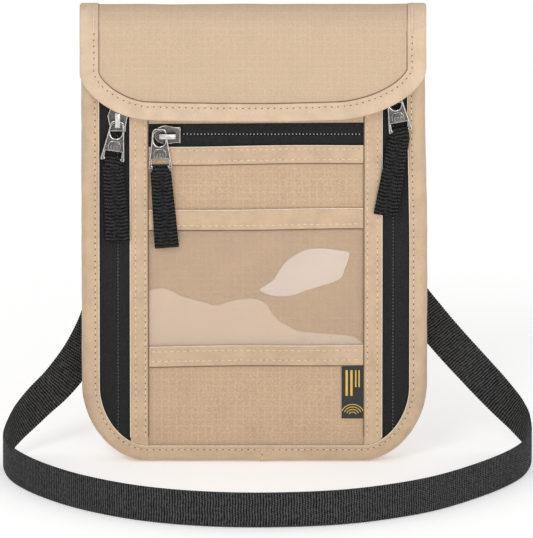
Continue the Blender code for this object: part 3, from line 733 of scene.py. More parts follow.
def plate(outlines, front, back, bevel, worn=True):
    """A plate in the plane of the front with rounded rims, from an outer (x, z) outline and those
    of its holes. Its rims take the second material if worn is set."""
    data = bpy.data.curves.new("plate", "CURVE")
    data.dimensions = "2D"
    data.fill_mode = "BOTH"
    data.extrude = max((back - front) / 2 - bevel, 0.0)
    data.bevel_depth = bevel
    data.bevel_resolution = 2
    data.offset = -bevel
    for outline in outlines:
        spline = data.splines.new("POLY")
        spline.points.add(len(outline) - 1)
        for point, (x, z) in zip(spline.points, outline):
            point.co = (x, z, 0.0, 1.0)
        spline.use_cyclic_u = True
    holder = bpy.data.objects.new("plate", data)
    bpy.context.scene.collection.objects.link(holder)
    graph = bpy.context.evaluated_depsgraph_get()
    mesh = bpy.data.meshes.new_from_object(holder.evaluated_get(graph))
    bm = bmesh.new()
    bm.from_mesh(mesh)
    bmesh.ops.remove_doubles(bm, verts=bm.verts, dist=1e-7)
    bm.normal_update()
    middle = (front + back) / 2
    points = [(v.co.x, middle - v.co.z, v.co.y) for v in bm.verts]
    faces = [[v.index for v in f.verts] for f in bm.faces]
    kinds = [1 if worn and abs(f.normal.z) < 0.97 else 0 for f in bm.faces]
    bm.free()
    bpy.data.objects.remove(holder)
    bpy.data.curves.remove(data)
    bpy.data.meshes.remove(mesh)
    return Shape().join(points, faces, kinds)


def between(a, b, c, d, t):
    """The Catmull-Rom curve from b to c at t, with a before and d after."""
    bends = (2 * a - 5 * b + 4 * c - d) * t**2 + (3 * b - a - 3 * c + d) * t**3
    return 0.5 * (2 * b + (c - a) * t + bends)


def rounded(corners, steps):
    """A smooth closed line through the corners."""
    points = [np.array(p, float) for p in corners]
    made = []
    for i in range(len(points)):
        four = [points[(i + k) % len(points)] for k in (-1, 0, 1, 2)]
        made += [tuple(between(*four, t)) for t in np.linspace(0, 1, steps, endpoint=False)]
    return made


def smooth_route(points, count):
    """That many points on the smooth curve through the given ones."""
    guide = [np.array(p, float) for p in points]
    guide = [2 * guide[0] - guide[1], *guide, 2 * guide[-1] - guide[-2]]
    spans = len(guide) - 3
    made = []
    for i in range(count):
        place = i * spans / (count - 1)
        k = min(int(place), spans - 1)
        made.append(between(*guide[k : k + 4], place - k))
    return np.array(made)


def soft_rectangle(left, right, bottom, top, radius, steps=5):
    """A rectangle with rounded corners."""
    points = []
    corners = [(right, top, 0), (left, top, 90), (left, bottom, 180), (right, bottom, 270)]
    for x, z, start in corners:
        cx = x - math.copysign(radius, x - (left + right) / 2)
        cz = z - math.copysign(radius, z - (bottom + top) / 2)
        for k in range(steps + 1):
            angle = math.radians(start + 90 * k / steps)
            points.append((cx + radius * math.cos(angle), cz + radius * math.sin(angle)))
    return points


def mirrored(half):
    """A closed outline from its right half and the same half turned over."""
    return [tuple(p) for p in half] + [(-x, z) for x, z in reversed(half)]


# ---- stitches ----------------------------------------------------------------------------------


def stitch_form():
    """One short thread that dives into the cloth at both ends, along +X and proud along +Z."""
    bends = [(-0.5, -0.9, 0.25), (-0.38, 0.1, 0.9), (0.0, 0.45, 1.0), (0.38, 0.1, 0.9), (0.5, -0.9, 0.25)]
    turn = np.linspace(0, 2 * math.pi, 6, endpoint=False)
    rings = []
    for t, lift, width in bends:
        rings.append([(t, width * math.cos(a), lift + width * math.sin(a)) for a in turn])
    return np.array(rings), grid_faces(5, 6, True)


def hole_form():
    """A small dimple, along +X and proud along +Z: dark as painted shade in the stitch rows, light as painted
    glints on the zips.
    """
    turn = np.linspace(0, 2 * math.pi, 6, endpoint=False)
    rings = []
    for width, lift in ((1.0, -0.2), (0.1, 0.5)):
        rings.append([(width * math.cos(a), width * math.sin(a), lift) for a in turn])
    return np.array(rings), grid_faces(2, 6, True)


def placed(form, centre, along, side, out):
    """A form's points, carried to the centre and turned to those three directions."""
    return centre + form[..., :1] * along + form[..., 1:2] * side + form[..., 2:] * out


def stitched(shape, path, normal, seed):
    """Adds a row of stitches along the path to shape, with dimples of painted needle-hole shade between them.
    normal is the way the cloth faces, the same all along or one for each point."""
    pitch, radius = sizes().stitch_pitch, sizes().thread_radius
    path = np.asarray(path, float)
    normal = np.broadcast_to(np.asarray(normal, float), path.shape)
    both = evenly(np.concatenate([path, normal], 1), pitch / 2)
    along_all = np.gradient(both[:, :3], axis=0)
    thread, thread_faces = stitch_form()
    hole, hole_faces = hole_form()
    for i in range(1, len(both) - 1):
        along = unit(along_all[i])
        out = both[i, 3:]
        out = unit(out - along * out.dot(along))
        side = np.cross(out, along)
        centre = both[i, :3] + side * (0.00007 * math.sin(i * 2.3 + seed))
        if i % 2:
            lean = along + side * (0.10 * math.sin(i * 1.3 + seed))
            length = pitch * (0.70 + 0.06 * math.sin(i * 0.9 + seed))
            shape.join(placed(thread * (length, radius, radius), centre, lean, side, out), thread_faces, 0)
        else:
            # Between the stitches, a dimple coloured dark as painted shade in the needle hole.
            dimple = hole * (radius * 1.6, radius * 1.35, radius * 0.6)
            shape.join(placed(dimple, centre, along, side, out), hole_faces, 1)
    return shape


def stitches_piece(name, rows):
    """A piece made of stitch rows, each (path, normal)."""
    shape = Shape()
    for k, (path, normal) in enumerate(rows):
        stitched(shape, path, normal, k + 1)
    return shape.build(name, ["thread", "needle_hole_shade"])


# ---- webbing -----------------------------------------------------------------------------------


def ribbed(centres, along, across, width, thickness, pitch, rib, bow=0.10, plain=0.0):
    """Webbing: rings round a line of centres, with raised ribs across it that bow a little. Each
    point's weave is its place across, its place in ribs and how strongly the ribs show there."""
    centres, along, across = (np.asarray(item, float) for item in (centres, along, across))
    face = unit(np.cross(along, across))
    widths = np.broadcast_to(np.asarray(width, float), (len(centres),))
    run = lengths(centres)
    places = np.array([-1.0, -0.94, -0.8, -0.6, -0.4, -0.2, 0.0, 0.2, 0.4, 0.6, 0.8, 0.94, 1.0])
    bow = bow * np.cos(places * math.pi * 2.4)
    show = 1.0 - plain * bell(places, 0.28)
    shrink = np.where(np.abs(places) > 0.9, np.where(np.abs(places) > 0.97, 0.35, 0.85), 1.0)
    rings, weaves = [], []
    for i in range(len(centres)):
        turns = run[i] / pitch + bow
        phase = 2 * math.pi * turns
        sides = places * widths[i] / 2
        # The base's rib phase is half a turn on, so the painted highlight falls on the rib tops of both
        # faces.
        upper = np.stack([sides, turns, show], -1)
        lower = np.stack([sides, turns + 0.5, show], -1)
        weaves.append(np.concatenate([upper, lower[::-1]]))
        high = thickness / 2 + rib * (0.5 + 0.5 * np.cos(phase))
        low = thickness / 2 + rib * (0.5 - 0.5 * np.cos(phase))
        edge = 1.0 + 0.012 * math.cos(2 * math.pi * run[i] / pitch)
        middle = centres[i] + (sides * edge)[:, None] * across[i]
        top = middle + (high * shrink)[:, None] * face[i]
        base = middle - (low * shrink)[:, None] * face[i]
        rings.append(np.concatenate([top, base[::-1]]))
    shape = loft(rings)
    shape.weaves = [np.concatenate(weaves)]
    return shape


def strap_lines(step):
    """(centres, along, across) down the strap: on its edge on the ground, flat where it climbs."""
    centres = evenly(smooth_route(STRAP_ROUTE, 1200), step)
    along = directions(centres)
    climb = np.clip((centres[:, 2] - 0.012) / 0.05, 0.0, 1.0)
    # Near the front's middle the strap changes side, where climb is 0, so the guide stays smooth.
    guide = np.stack([np.sign(centres[:, 0]) * climb, np.zeros(len(climb)), np.ones(len(climb))], -1)
    across = unit(guide - along * np.sum(guide * along, 1)[:, None])
    return centres, along, across


def ribbed_band(path, x, width, thickness, pitch, rib):
    """Webbing that follows a (y, z) path at that place across, square to it."""
    centres = sideways(evenly(path, pitch / 5), x)
    across = np.broadcast_to(np.array((1.0, 0.0, 0.0)), centres.shape)
    return ribbed(centres, directions(centres), across, width, thickness, pitch, rib)


def strap_band(name, path, node):
    """Webbing of the strap's width that follows a (y, z) path behind the body's right side."""
    shape = ribbed_band(path, STRAP_SIDE_X, 0.0148, 0.0008, sizes().rib_pitch, 0.00016)
    return shape.build(name, ["webbing"], "webbing", [node], angle=50)


def arc(centre, radius, start, end, steps=10):
    """Points round part of a circle, from one angle to another in degrees."""
    angles = np.radians(np.linspace(start, end, steps + 1))
    return [(centre[0] + radius * math.cos(a), centre[1] + radius * math.sin(a)) for a in angles]


# ---- the pieces --------------------------------------------------------------------------------


def make_camera():
    """A long lens, level from side to side, that looks down a little at the pouch's middle."""
    distance, elevation, lens_per_metre = 8.0, math.radians(15.0), 161.196
    data = bpy.data.cameras.new("camera")
    data.sensor_fit = "HORIZONTAL"
    data.sensor_width = 36.0
    data.lens = distance * lens_per_metre
    data.clip_start, data.clip_end = 1.0, 100.0
    camera = bpy.data.objects.new("camera", data)
    target = Vector((0.0053, -0.0038, 0.0844))
    back = Vector((0.0, -math.cos(elevation), math.sin(elevation)))
    camera.location = target + back * distance
    camera.rotation_euler = (math.pi / 2 - elevation, 0.0, 0.0)
    bpy.context.scene.collection.objects.link(camera)
    bpy.context.scene.camera = camera


def make_neck_strap():
    """The strap's piece, with the line down its middle in the frame and its length."""
    width, thickness = sizes().strap_width, sizes().strap_thickness
    pitch = 0.84 * sizes().rib_pitch
    centres, along, across = strap_lines(pitch / 4)
    shape = ribbed(centres, along, across, width, thickness * 0.72, pitch, 0.00024)
    strap = shape.build("neck_strap_webbing", ["webbing"], "webbing", ["neck_strap"], angle=50)
    route = evenly(centres, 0.003) + OFFSET
    length = float(np.linalg.norm(np.diff(centres, axis=0), axis=1).sum())
    return strap, route, length


def make_strap_fittings():
    """The hanger, the doubled end and the sewn patch, with the CAD's ring and adjuster finished."""
    y, z = RING_CENTRE
    top_bar, low_bar, turn = (y, z + 0.00385), (y, z - 0.00385), 0.00205
    hanger = [(0.0068, 0.1862), (0.0068, 0.1760)]
    hanger += arc(top_bar, turn, 180, 360)
    hanger += [(y - 0.0008, 0.1755), (0.0082, 0.1785), (0.0082, 0.1862)]
    hanger = strap_band("strap_hanger_webbing", hanger, "strap_hanger")
    bar_y, fold = ADJUSTER_BAR_Y, 0.0015
    back = arc(low_bar, turn, 180, 0)
    back += [(bar_y + fold + 0.0001, 0.1500), (bar_y + fold, 0.1300)]
    back += arc((bar_y, ADJUSTER_Z), fold, 0, -180)
    back += [(bar_y - fold + 0.0002, 0.1240), (bar_y - 0.0002, 0.1290)]
    doubled = strap_band("strap_return_webbing", back, "strap_return")

    def uneven(x, z):
        return 0.0001 + 0.0001 * ripple(x, z, 0.004, 3)

    patch = slab(-0.0648, -0.0492, 0.1705, 0.1865, (0.0076, 0.0084), None, 0.0004, 0.002, uneven)
    patch = patch.build("strap_patch_cloth", ["ripstop"], "ripstop", ["strap_patch"])
    x0, x1, z0, z1, y = -0.0634, -0.0506, 0.1719, 0.1851, 0.0086
    box = [(x0, y, z0), (x1, y, z0), (x1, y, z1), (x0, y, z1), (x0, y, z0)]
    cross = [[(x0, y, z0), (x1, y, z1)], [(x0, y, z1), (x1, y, z0)]]
    sewn = stitches_piece("strap_patch_stitches", [(path, BACKWARDS) for path in (box, *cross)])
    for node in ("strap_ring", "strap_adjuster"):
        refinish(node, "moulded")
    return [hanger, doubled, patch, sewn]


def refinish(node, name):
    """Gives a CAD node its finished material."""
    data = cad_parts[node].data
    data.materials.clear()
    data.materials.append(material(name))


def binding_ring(width, front, back, stitch_in):
    """(inward, depth) round a folded binding: rounded outside, dipped at its stitch row."""
    half, middle = (back - front) / 2, (back + front) / 2
    ease = min(0.0042, half * 1.2)
    turn = np.radians(np.linspace(-90, 90, 17))
    nose_in = ease * (1 - np.cos(turn) ** 0.85)
    nose_y = middle + half * np.sign(np.sin(turn)) * np.abs(np.sin(turn)) ** 0.8
    lip = [
        (width + 0.0001, 0.00030), (width, 0.00012), (width - 0.0005, 0.0), (stitch_in + 0.0005, 0.00008),
        (stitch_in, 0.00022), (stitch_in - 0.0005, 0.00010), (stitch_in - 0.0012, 0.0),
    ]
    front_lip = [(u, front + d) for u, d in lip]
    back_lip = [(u, back - d) for u, d in reversed(lip)]
    wall = 0.0007
    inside = [
        (width, back - wall), (ease + 0.0004, back - wall), (ease * 0.7, middle + half * 0.3),
        (ease * 0.7, middle - half * 0.3), (ease + 0.0004, front + wall), (width, front + wall),
    ]
    return np.array(front_lip + np.stack([nose_in, nose_y], -1).tolist() + back_lip + inside)


def make_body_binding():
    """The folded tape round the body: puckered at its stitches, lapped where its ends meet."""
    path = body_outline()
    normals = inward(path)
    pitch, stitch_in, seam = sizes().stitch_pitch, 0.0058, 0.0022
    section = binding_ring(sizes().binding_width, BODY_FRONT, BODY_BACK, stitch_in)
    near_stitches = bell(section[:, 0] - stitch_in, 0.0012)
    lean = np.sign(section[:, 1])
    rings = []
    for i, (p, n) in enumerate(zip(path, normals)):
        run = i * 0.0009
        wobble = 0.00010 * float(ripple(run, 0.0, 0.009, 2)) + 0.00006 * float(ripple(run, 0.0, 0.0025, 5))
        overlap = 0.0
        if p[1] < 0.001 and p[0] > seam:
            overlap = 0.00028 * max(0.0, 1 - (p[0] - seam) / 0.010)
        pucker = 0.00007 * math.cos(2 * math.pi * run / pitch)
        u = section[:, 0] + wobble - overlap * (section[:, 0] < 0.003)
        y = section[:, 1] - lean * near_stitches * pucker + lean * overlap * 0.6
        rings.append(np.stack([p[0] + n[0] * u, y, p[1] + n[1] * u], -1))
    tape = loft(rings)
    tape.build("body_binding_tape", ["binding"], "binding_tape", ["body_binding"], angle=50)
    row = path + normals * stitch_in
    rows = [(upright(row, BODY_FRONT + 0.00008), FORWARDS), (upright(row, BODY_BACK - 0.00008), BACKWARDS)]
    x, y = seam + 0.0011, BODY_FRONT - 0.00022
    rows.append(([(x, y, 0.0012), (x, y, 0.0064)], FORWARDS))
    stitches_piece("body_binding_stitches", rows)


def make_back():
    """The back panel, which swells a little, and the padding under it."""

    def bulge(x, z):
        swell = 0.0007 * np.cos(x / 0.0711 * 1.4) * np.sin(np.clip(z / 0.188, 0, 1) * math.pi) ** 0.5
        return swell + 0.00022 * ripple(x, z, 0.016, 4) + 0.00010 * ripple(x, z, 0.006, 9)

    outline = body_outline()
    cloth = slab(-0.0688, 0.0688, foot_line(outline, 0.0036), 0.1881, (0.0051, 0.0059), None,
                 0.0006, 0.0025, bulge)
    cloth.build("back_cloth", ["ripstop"], "ripstop", ["back_panel"])
    padding = slab(-0.0675, 0.0675, foot_line(outline, 0.0043), 0.1855, (0.0038, 0.0048), None,
                   0.0005, 0.004)
    padding = padding.build("back_foam", ["foam"], "padding_foam", ["back_padding"])


def make_linings():
    """The flat cloths inside: shielding, divider, front wall and the cross pocket's bag."""
    outline = body_outline()
    layers = [
        ("shielding_cloth", 0.0670, 0.0051, 0.1840, (0.0032, 0.0035), "foil", "foil_cloth", "rfid_lining"),
        ("divider_cloth", 0.0660, 0.0059, 0.1240, (0.0025, 0.0029), "lining", "lining", "passport_divider"),
        ("front_wall_cloth", 0.0711, 0.0012, 0.1881, (-0.0027, -0.0021), "lining", "lining", "front_wall"),
    ]
    for name, half, margin, top, layer, kind, slot, node in layers:
        cloth = slab(-half, half, foot_line(outline, margin), top, layer, None, 0.0002, 0.004)
        cloth.build(name, [kind], slot, [node])
    bag = slab(-0.044, 0.045, 0.062, 0.136, (-0.0034, -0.0030), None, 0.0002, 0.004)
    bag.build("pocket_bag_cloth", ["lining"], "lining", ["cross_pocket_bag"])


def panel_relief(bottom, top, seed):
    """How far a sewn panel stands out: drawn in at its seams, soft and a little uneven between."""
    left, right = LEFT_STRIP[1], RIGHT_STRIP[0]

    def relief(x, z):
        u = np.clip((x - left) / (right - left), 0, 1)
        v = np.clip((z - bottom) / (top - bottom), 0, 1)
        pillow = np.minimum(1.0, 8 * u * (1 - u)) * np.minimum(1.0, 6 * v * (1 - v))
        uneven = ripple(x, z, 0.010, seed) + 0.5 * ripple(x, z, 0.0042, seed + 2)
        return pillow * (0.00028 + 0.00022 * uneven)

    return relief


def make_front_panels():
    """The two ripstop panels, the panel under the flap and the loop tape on it."""
    upper = slab(*PANEL_SIDES, 0.1060, 0.1342, FACE_LAYER, panel_relief(0.110, 0.130, 1))
    upper.build("upper_panel_cloth", ["ripstop"], "ripstop", ["upper_panel"])
    foot = foot_line(body_outline(), 0.0034)
    lower = slab(*PANEL_SIDES, foot, 0.0464, FACE_LAYER, panel_relief(0.006, 0.043, 6))
    lower.build("lower_panel_cloth", ["ripstop"], "ripstop", ["lower_panel"])
    top = slab(*TAPE_SIDES, lambda x: 0.1474 + 0.0006 * x / 0.09, STRIP_TOP, TAPE_LAYER)
    top.build("front_top_cloth", ["ripstop"], "ripstop", ["front_top_panel"])
    loop = slab(*FASTENER_BOX, (-0.0088, -0.0073), lambda x, z: 0.00012 * ripple(x, z, 0.0012, 2),
                0.0003, 0.0010)
    loop.build("loop_tape", ["hook_loop"], "hook_loop", ["loop_patch"])


def make_window():
    """The clear film over its backing, and between the two, two pale patches of painted reflection of the
    lights.
    """
    (left, right), bottom, top = PANEL_SIDES, 0.0468, 0.1056
    backing = slab(left, right, bottom, top, (-0.0053, -0.0048),
                   lambda x, z: 0.00006 * ripple(x, z, 0.012, 8), 0.0002)
    backing.build("window_backing_cloth", ["window_ripstop"], "ripstop", ["window_backing"])
    film = slab(left, right, bottom, top, (-0.0059, -0.0057),
                lambda x, z: 0.00010 * (1 + ripple(x, z, 0.018, 5)), 0.0001)
    film.build("window_clear_film", ["film"], "clear_film", ["window_film"])
    # Outlines of the two patches of painted reflection: a low band and a lobe.
    low = [
        (-0.0446, 0.0744), (-0.0420, 0.0752), (-0.0392, 0.0757), (-0.0352, 0.0747), (-0.0317, 0.0727),
        (-0.0260, 0.0708), (-0.0205, 0.0693), (-0.0164, 0.0680), (-0.0130, 0.0691), (-0.0092, 0.0702),
        (-0.0048, 0.0709), (-0.0006, 0.0711), (0.0031, 0.0700), (0.0055, 0.0678), (0.0074, 0.0646),
        (0.0102, 0.0615), (0.0140, 0.0592), (0.0176, 0.0573), (0.0220, 0.0565), (0.0312, 0.0558),
        (0.0386, 0.0552), (0.0420, 0.0541), (0.0450, 0.0522),
    ]
    leaf = [
        (0.0022, 0.0748), (0.0045, 0.0768), (0.0077, 0.0790), (0.0098, 0.0822), (0.0128, 0.0866),
        (0.0170, 0.0900), (0.0219, 0.0924), (0.0282, 0.0929), (0.0349, 0.0922), (0.0395, 0.0911),
        (0.0392, 0.0878), (0.0380, 0.0845), (0.0366, 0.0806), (0.0336, 0.0786), (0.0270, 0.0764),
        (0.0208, 0.0744), (0.0160, 0.0726), (0.0112, 0.0722), (0.0070, 0.0726),
    ]
    left, right = left + 0.001, right - 0.001
    edge = smooth_route([(x, z, 0.0) for x, z in low], 120)[:, :2].tolist()
    outline = [(left, 0.0744), *edge, (right, 0.0515), (right, 0.0486), (left, 0.0486)]
    layer = (-0.00556, -0.00546)
    patches = plate([outline], *layer, 0.00002, False)
    lobe = plate([rounded(leaf, 5)], *layer, 0.00002, False)
    lobe.kinds = [1] * len(lobe.kinds)
    patches.add(lobe).build("window_glare", ["glare", "bright_glare"])


def tape_relief(rows, horizontal, seed):
    """A folded tape's face: full between its stitch rows and drawn in along them."""
    pitch = sizes().stitch_pitch

    def relief(x, z):
        across, along = (z, x) if horizontal else (x, z)
        out = 0.00016 + 0.00005 * ripple(x, z, 0.005, seed)
        for row in rows:
            place = row(along) if callable(row) else row
            draw = 0.00020 + 0.00006 * np.cos(2 * math.pi * along / pitch)
            out = out - bell(across - place, 0.00055) * draw
        return out

    return relief


def tape_line(z):
    """The height of a line along a tape that starts from z: it climbs a little and wavers."""
    return lambda x: z + 0.0008 * x / 0.09 + 0.00018 * np.sin(x / 0.013 + z * 50)


def across_front(z, y, margin):
    """Points along such a line, from one end of the tapes to the other."""
    xs = np.linspace(TAPE_SIDES[0] + margin, TAPE_SIDES[1] - margin, 40)
    return upright(np.stack([xs, tape_line(z)(xs)], -1), y)


def make_tapes():
    """The folded tapes across the front, and the strips beside the panels."""
    face = TAPE_LAYER[0]
    rows = []
    for k, (node, bottom, top, heights) in enumerate(TAPES):
        relief = tape_relief([tape_line(z) for z in heights], True, k)
        tape = slab(*TAPE_SIDES, tape_line(bottom), tape_line(top), TAPE_LAYER, relief, 0.0005, 0.0006)
        tape.build(f"{node}_cloth", ["binding"], "binding_tape", [node])
        rows += [(across_front(z, face + 0.00002, 0.0005), FORWARDS) for z in heights]
    stitches_piece("pocket_tape_stitches", rows)
    foot = foot_line(body_outline(), sizes().binding_width + 0.0003)
    rows = []
    for k, (node, span, places) in enumerate(STRIPS):
        relief = tape_relief(places, False, k + 5)
        strip = slab(*span, foot, STRIP_TOP, TAPE_LAYER, relief, 0.0005, 0.0006)
        strip.build(f"{node}_cloth", ["binding"], "binding_tape", [node])
        for x in places:
            y = face + 0.00002
            rows.append(([(x, y, STRIP_FOOT + 0.0006), (x, y, 0.1890)], FORWARDS))
    stitches_piece("strip_stitches", rows)
    make_seam_shade_and_highlights()


def make_seam_shade_and_highlights():
    """Thin tubes of painted shade where the tapes are sewn down, and of painted highlight along their folded
    edges and the body binding's inner edge.
    """
    crease_shades, fold_highlights = Shape(), Shape()
    face = TAPE_LAYER[0]
    for _, bottom, top, _ in TAPES:
        # A dark tube of painted shade sunk at each tape's lower edge.
        crease_shades.add(tube(across_front(bottom - 0.0002, face + 0.0006, 0.0002), 0.00022, 6))
        # A light tube of painted highlight along each tape's top edge.
        fold_highlights.add(tube(across_front(top + 0.0001, face + 0.0001, 0.0002), 0.00022, 6))
    # Along the strips: dark tubes of painted shade at their inner edges, light tubes of painted highlight at
    # their outer edges.
    for x, shape, sink in (
        (LEFT_STRIP[1] + 0.0001, crease_shades, 0.0003),
        (RIGHT_STRIP[0] - 0.0001, crease_shades, 0.0003),
        (LEFT_STRIP[0] - 0.00005, fold_highlights, 0.0002),
        (RIGHT_STRIP[1] + 0.00005, fold_highlights, 0.0002),
    ):
        edge = [(x, face + sink, STRIP_FOOT + 0.001), (x, face + sink, 0.1880)]
        shape.add(tube(evenly(edge, 0.004), 0.00022, 6))
    # A light tube of painted highlight along the body binding's inner edge.
    path = body_outline()
    inner = path + inward(path) * (sizes().binding_width + 0.0001)
    fold_highlights.add(tube(upright(inner, BODY_FRONT + 0.0002), 0.00020, 6))
    crease_shades.build("tape_crease_shade", ["crease_shade"])
    fold_highlights.build("tape_fold_highlights", ["fold"])


def chain_dots(shape, start, end, kind):
    """Painted glints of the teeth along a closed chain, as small light dots."""
    pitch, y = sizes().tooth_pitch, -0.00585
    start, end = np.array(start, float), np.array(end, float)
    count = int(np.linalg.norm(end - start) / pitch)
    along = unit(end - start)
    side = np.array((along[1], -along[0]))
    form, faces = hole_form()
    form = form * (0.00034, 0.00026, 0.0005)
    for i in range(count):
        x, z = start + along * pitch * (i + 0.5) + side * 0.00006 * (-1) ** i
        dot = placed(form, (x, y, z), (side[0], 0, side[1]), (along[0], 0, along[1]), FORWARDS)
        shape.join(dot, faces, kind)


def chain_relief(chain, level):
    """A zip tape's face: a roll over each half of the teeth, with a groove where they meet."""
    pitch = sizes().tooth_pitch

    def relief(x, z):
        away = np.abs((z if level else x) - chain)
        roll = 0.00032 * bell(away - 0.0011, 0.0007) - 0.0004 * bell(away, 0.00025)
        if level:
            return roll + 0.00004 * ripple(x, z, 0.012, 3)
        weft = 0.00003 * np.cos(2 * math.pi * z / pitch) * bell(away - 0.0012, 0.0009)
        return roll + weft + 0.00005 * ripple(x, z, 0.012, 3)

    return relief


def make_zips():
    """The tapes of the two side zips and the cross zip, and painted glints on the teeth of all three."""
    foot = foot_line(body_outline(), 0.0034)
    edge, gap, below = BODY_HALF - 0.0044, 0.00008, 0.006
    # This piece gathers the painted glints on the teeth.
    teeth = Shape()

    def half(node, left, right, lower, upper, relief, step):
        tape = slab(left, right, lower, upper, FACE_LAYER, relief, 0.0003, step)
        tape.build(f"{node}_tape", ["zip_tape"], "zip_tape", [node])

    for side, chain, seam, slider in (
        ("left", LEFT_CHAIN_X, LEFT_SEAM, LEFT_SLIDER_Z),
        ("right", RIGHT_CHAIN_X, RIGHT_SEAM, RIGHT_SLIDER_Z),
    ):
        sign = math.copysign(1, chain)
        for place, turn, end in (("outer", sign, sign * edge), ("inner", -sign, seam)):
            left, right = sorted((chain + turn * gap, end))
            half(f"{side}_zip_{place}_half", left, right, foot, 0.1885, chain_relief(chain, False), 0.00055)
        # Dimmer painted glints down each side zip.
        chain_dots(teeth, (chain, 0.010), (chain, slider - below), 1)
        refinish(f"{side}_zip_top_stop", "metal")
    relief = chain_relief(CROSS_CHAIN_Z, True)
    half("cross_zip_upper_half", *PANEL_SIDES, CROSS_CHAIN_Z + gap, 0.1505, relief, 0.0006)
    half("cross_zip_lower_half", *PANEL_SIDES, 0.1345, CROSS_CHAIN_Z - gap, relief, 0.0006)
    start, end = CROSS_SLIDER_X + below, RIGHT_STRIP[0] - 0.001
    # Brighter painted glints along the cross zip.
    chain_dots(teeth, (start, CROSS_CHAIN_Z), (end, CROSS_CHAIN_Z), 0)
    teeth.build("zip_tooth_glints", ["zip_glints", "side_zip_glints"], "zip_tape")


def bail_shape():
    """The arched bar over a slider that holds its puller: a flat-sided bar round a smooth arch."""
    front, length, leg, count = -0.0106, 0.0040, 0.0012, 40
    arch = [
        (-0.0072, -length + leg / 2), (-0.0092, -length + leg / 2), (-0.0100, -length + leg),
        (front + 0.00045, -length + leg * 2), (front + 0.0004, 0.0), (front + 0.00045, length - leg * 2),
        (-0.0100, length - leg), (-0.0092, length - leg / 2), (-0.0072, length - leg / 2),
    ]
    path = smooth_route([(0.0, y, z) for y, z in arch], count)
    turn = np.linspace(0, 2 * math.pi, 12, endpoint=False)
    wide = np.copysign(np.abs(np.cos(turn)) ** 0.6, np.cos(turn)) * 0.00115
    thick = np.copysign(np.abs(np.sin(turn)) ** 0.6, np.sin(turn)) * 0.00045
    rings = []
    for i, p in enumerate(path):
        along = unit(path[min(i + 1, count - 1)] - path[max(i - 1, 0)])
        out = np.array((0.0, -along[2], along[1]))
        rings.append(p + wide[:, None] * (1, 0, 0) + thick[:, None] * out)
    bail = loft(rings)
    bail.kinds = [1] * len(bail.kinds)
    return bail


def slider_shape():
    """A slider with its nose towards +Z: two wings, a post between them and an arched bail."""
    half = [(0.0034, -0.0053), (0.0035, -0.0030), (0.0043, 0.0012), (0.0032, 0.0042), (0.0016, 0.0055)]
    outline = mirrored(half)
    shape = plate([outline], -0.0074, -0.0062, 0.00040)
    rim = soft_rectangle(-0.0035, 0.0035, -0.0054, -0.0047, 0.0003)
    shape.add(plate([rim], -0.0078, -0.0066, 0.00025))
    shape.add(plate([outline], -0.0036, -0.0030, 0.00015))
    post = soft_rectangle(-0.00025, 0.00025, 0.0002, 0.0045, 0.0001)
    shape.add(plate([post], -0.0064, -0.0034, 0.00005))
    return shape.add(bail_shape())


def puller_shape(rise):
    """A flat puller: D-shaped eye, raised badge with plain bars, and two legs beside the webbing."""
    half = [
        (0.0008, 0.00085), (0.0018, 0.00070), (0.0027, 0.0001), (0.0031, -0.0012), (0.0034, -0.0045),
        (0.0040, -0.0090), (0.0046, -0.0130), (0.0050, -0.0158), (0.0049, -0.0166), (0.0044, -0.0168),
        (0.0041, -0.0164),
    ]
    eye = [
        (0.0009, -0.00045), (0.0018, -0.0009), (0.0023, -0.0018), (0.0026, -0.0035), (0.0023, -0.0053),
        (0.0014, -0.0065), (0.0004, -0.0069),
    ]
    slot = soft_rectangle(-0.0035, 0.0035, -0.01535, -0.0125, 0.0003)
    shape = plate([mirrored(half), mirrored(eye), slot], -0.0006, 0.0006, 0.00042)
    badge = [(0.0026, -0.0118), (0.0026, -0.0092), (0.0017, -0.0081), (0.0006, -0.0079)]
    shape.add(plate([mirrored(badge)], -0.00085, -0.0004, 0.00020))
    for x in (-0.0013, 0.0, 0.0013):
        bar = soft_rectangle(x - 0.00035, x + 0.00035, -0.0113, -0.0098, 0.00025)
        shape.add(plate([bar], -0.00105, -0.0007, 0.00012))
    return shape.moved(Matrix.Translation((0, 0, rise)))


def tab_shape(lean, seed):
    """A ribbed webbing tab: its neck goes round the puller's bar, and its foot is cut straight."""
    width, length, neck_width = sizes().tab_width, sizes().tab_length, 0.0068
    pitch = 1.12 * sizes().rib_pitch
    run = np.arange(0.0, length - 0.0012, pitch / 5)
    x = math.tan(math.radians(lean)) * (run + 0.0012)
    y = 0.00008 * np.sin(run / 0.006 + seed)
    centres = np.stack([x, y, -0.0012 - run], -1)
    along = directions(centres)
    across = unit(np.cross(along, np.broadcast_to(np.array(FORWARDS), along.shape)))
    neck = np.clip((run + 0.0002) / 0.0016, 0, 1)
    swell = (0.86 * width - neck_width) * (neck * neck * (3 - 2 * neck))
    widths = neck_width + swell + 0.17 * width * run / length
    shape = ribbed(centres, along, across, widths, 0.00118, pitch, 0.00034, 0.16, 0.75)
    loop = [(-0.00075, -0.0030), *arc((0, 0), 0.00088, 200, -20, 14), (0.00075, -0.0030)]
    return shape.add(ribbed_band(loop, 0.0, 0.0064, 0.00035, pitch, 0.00012))


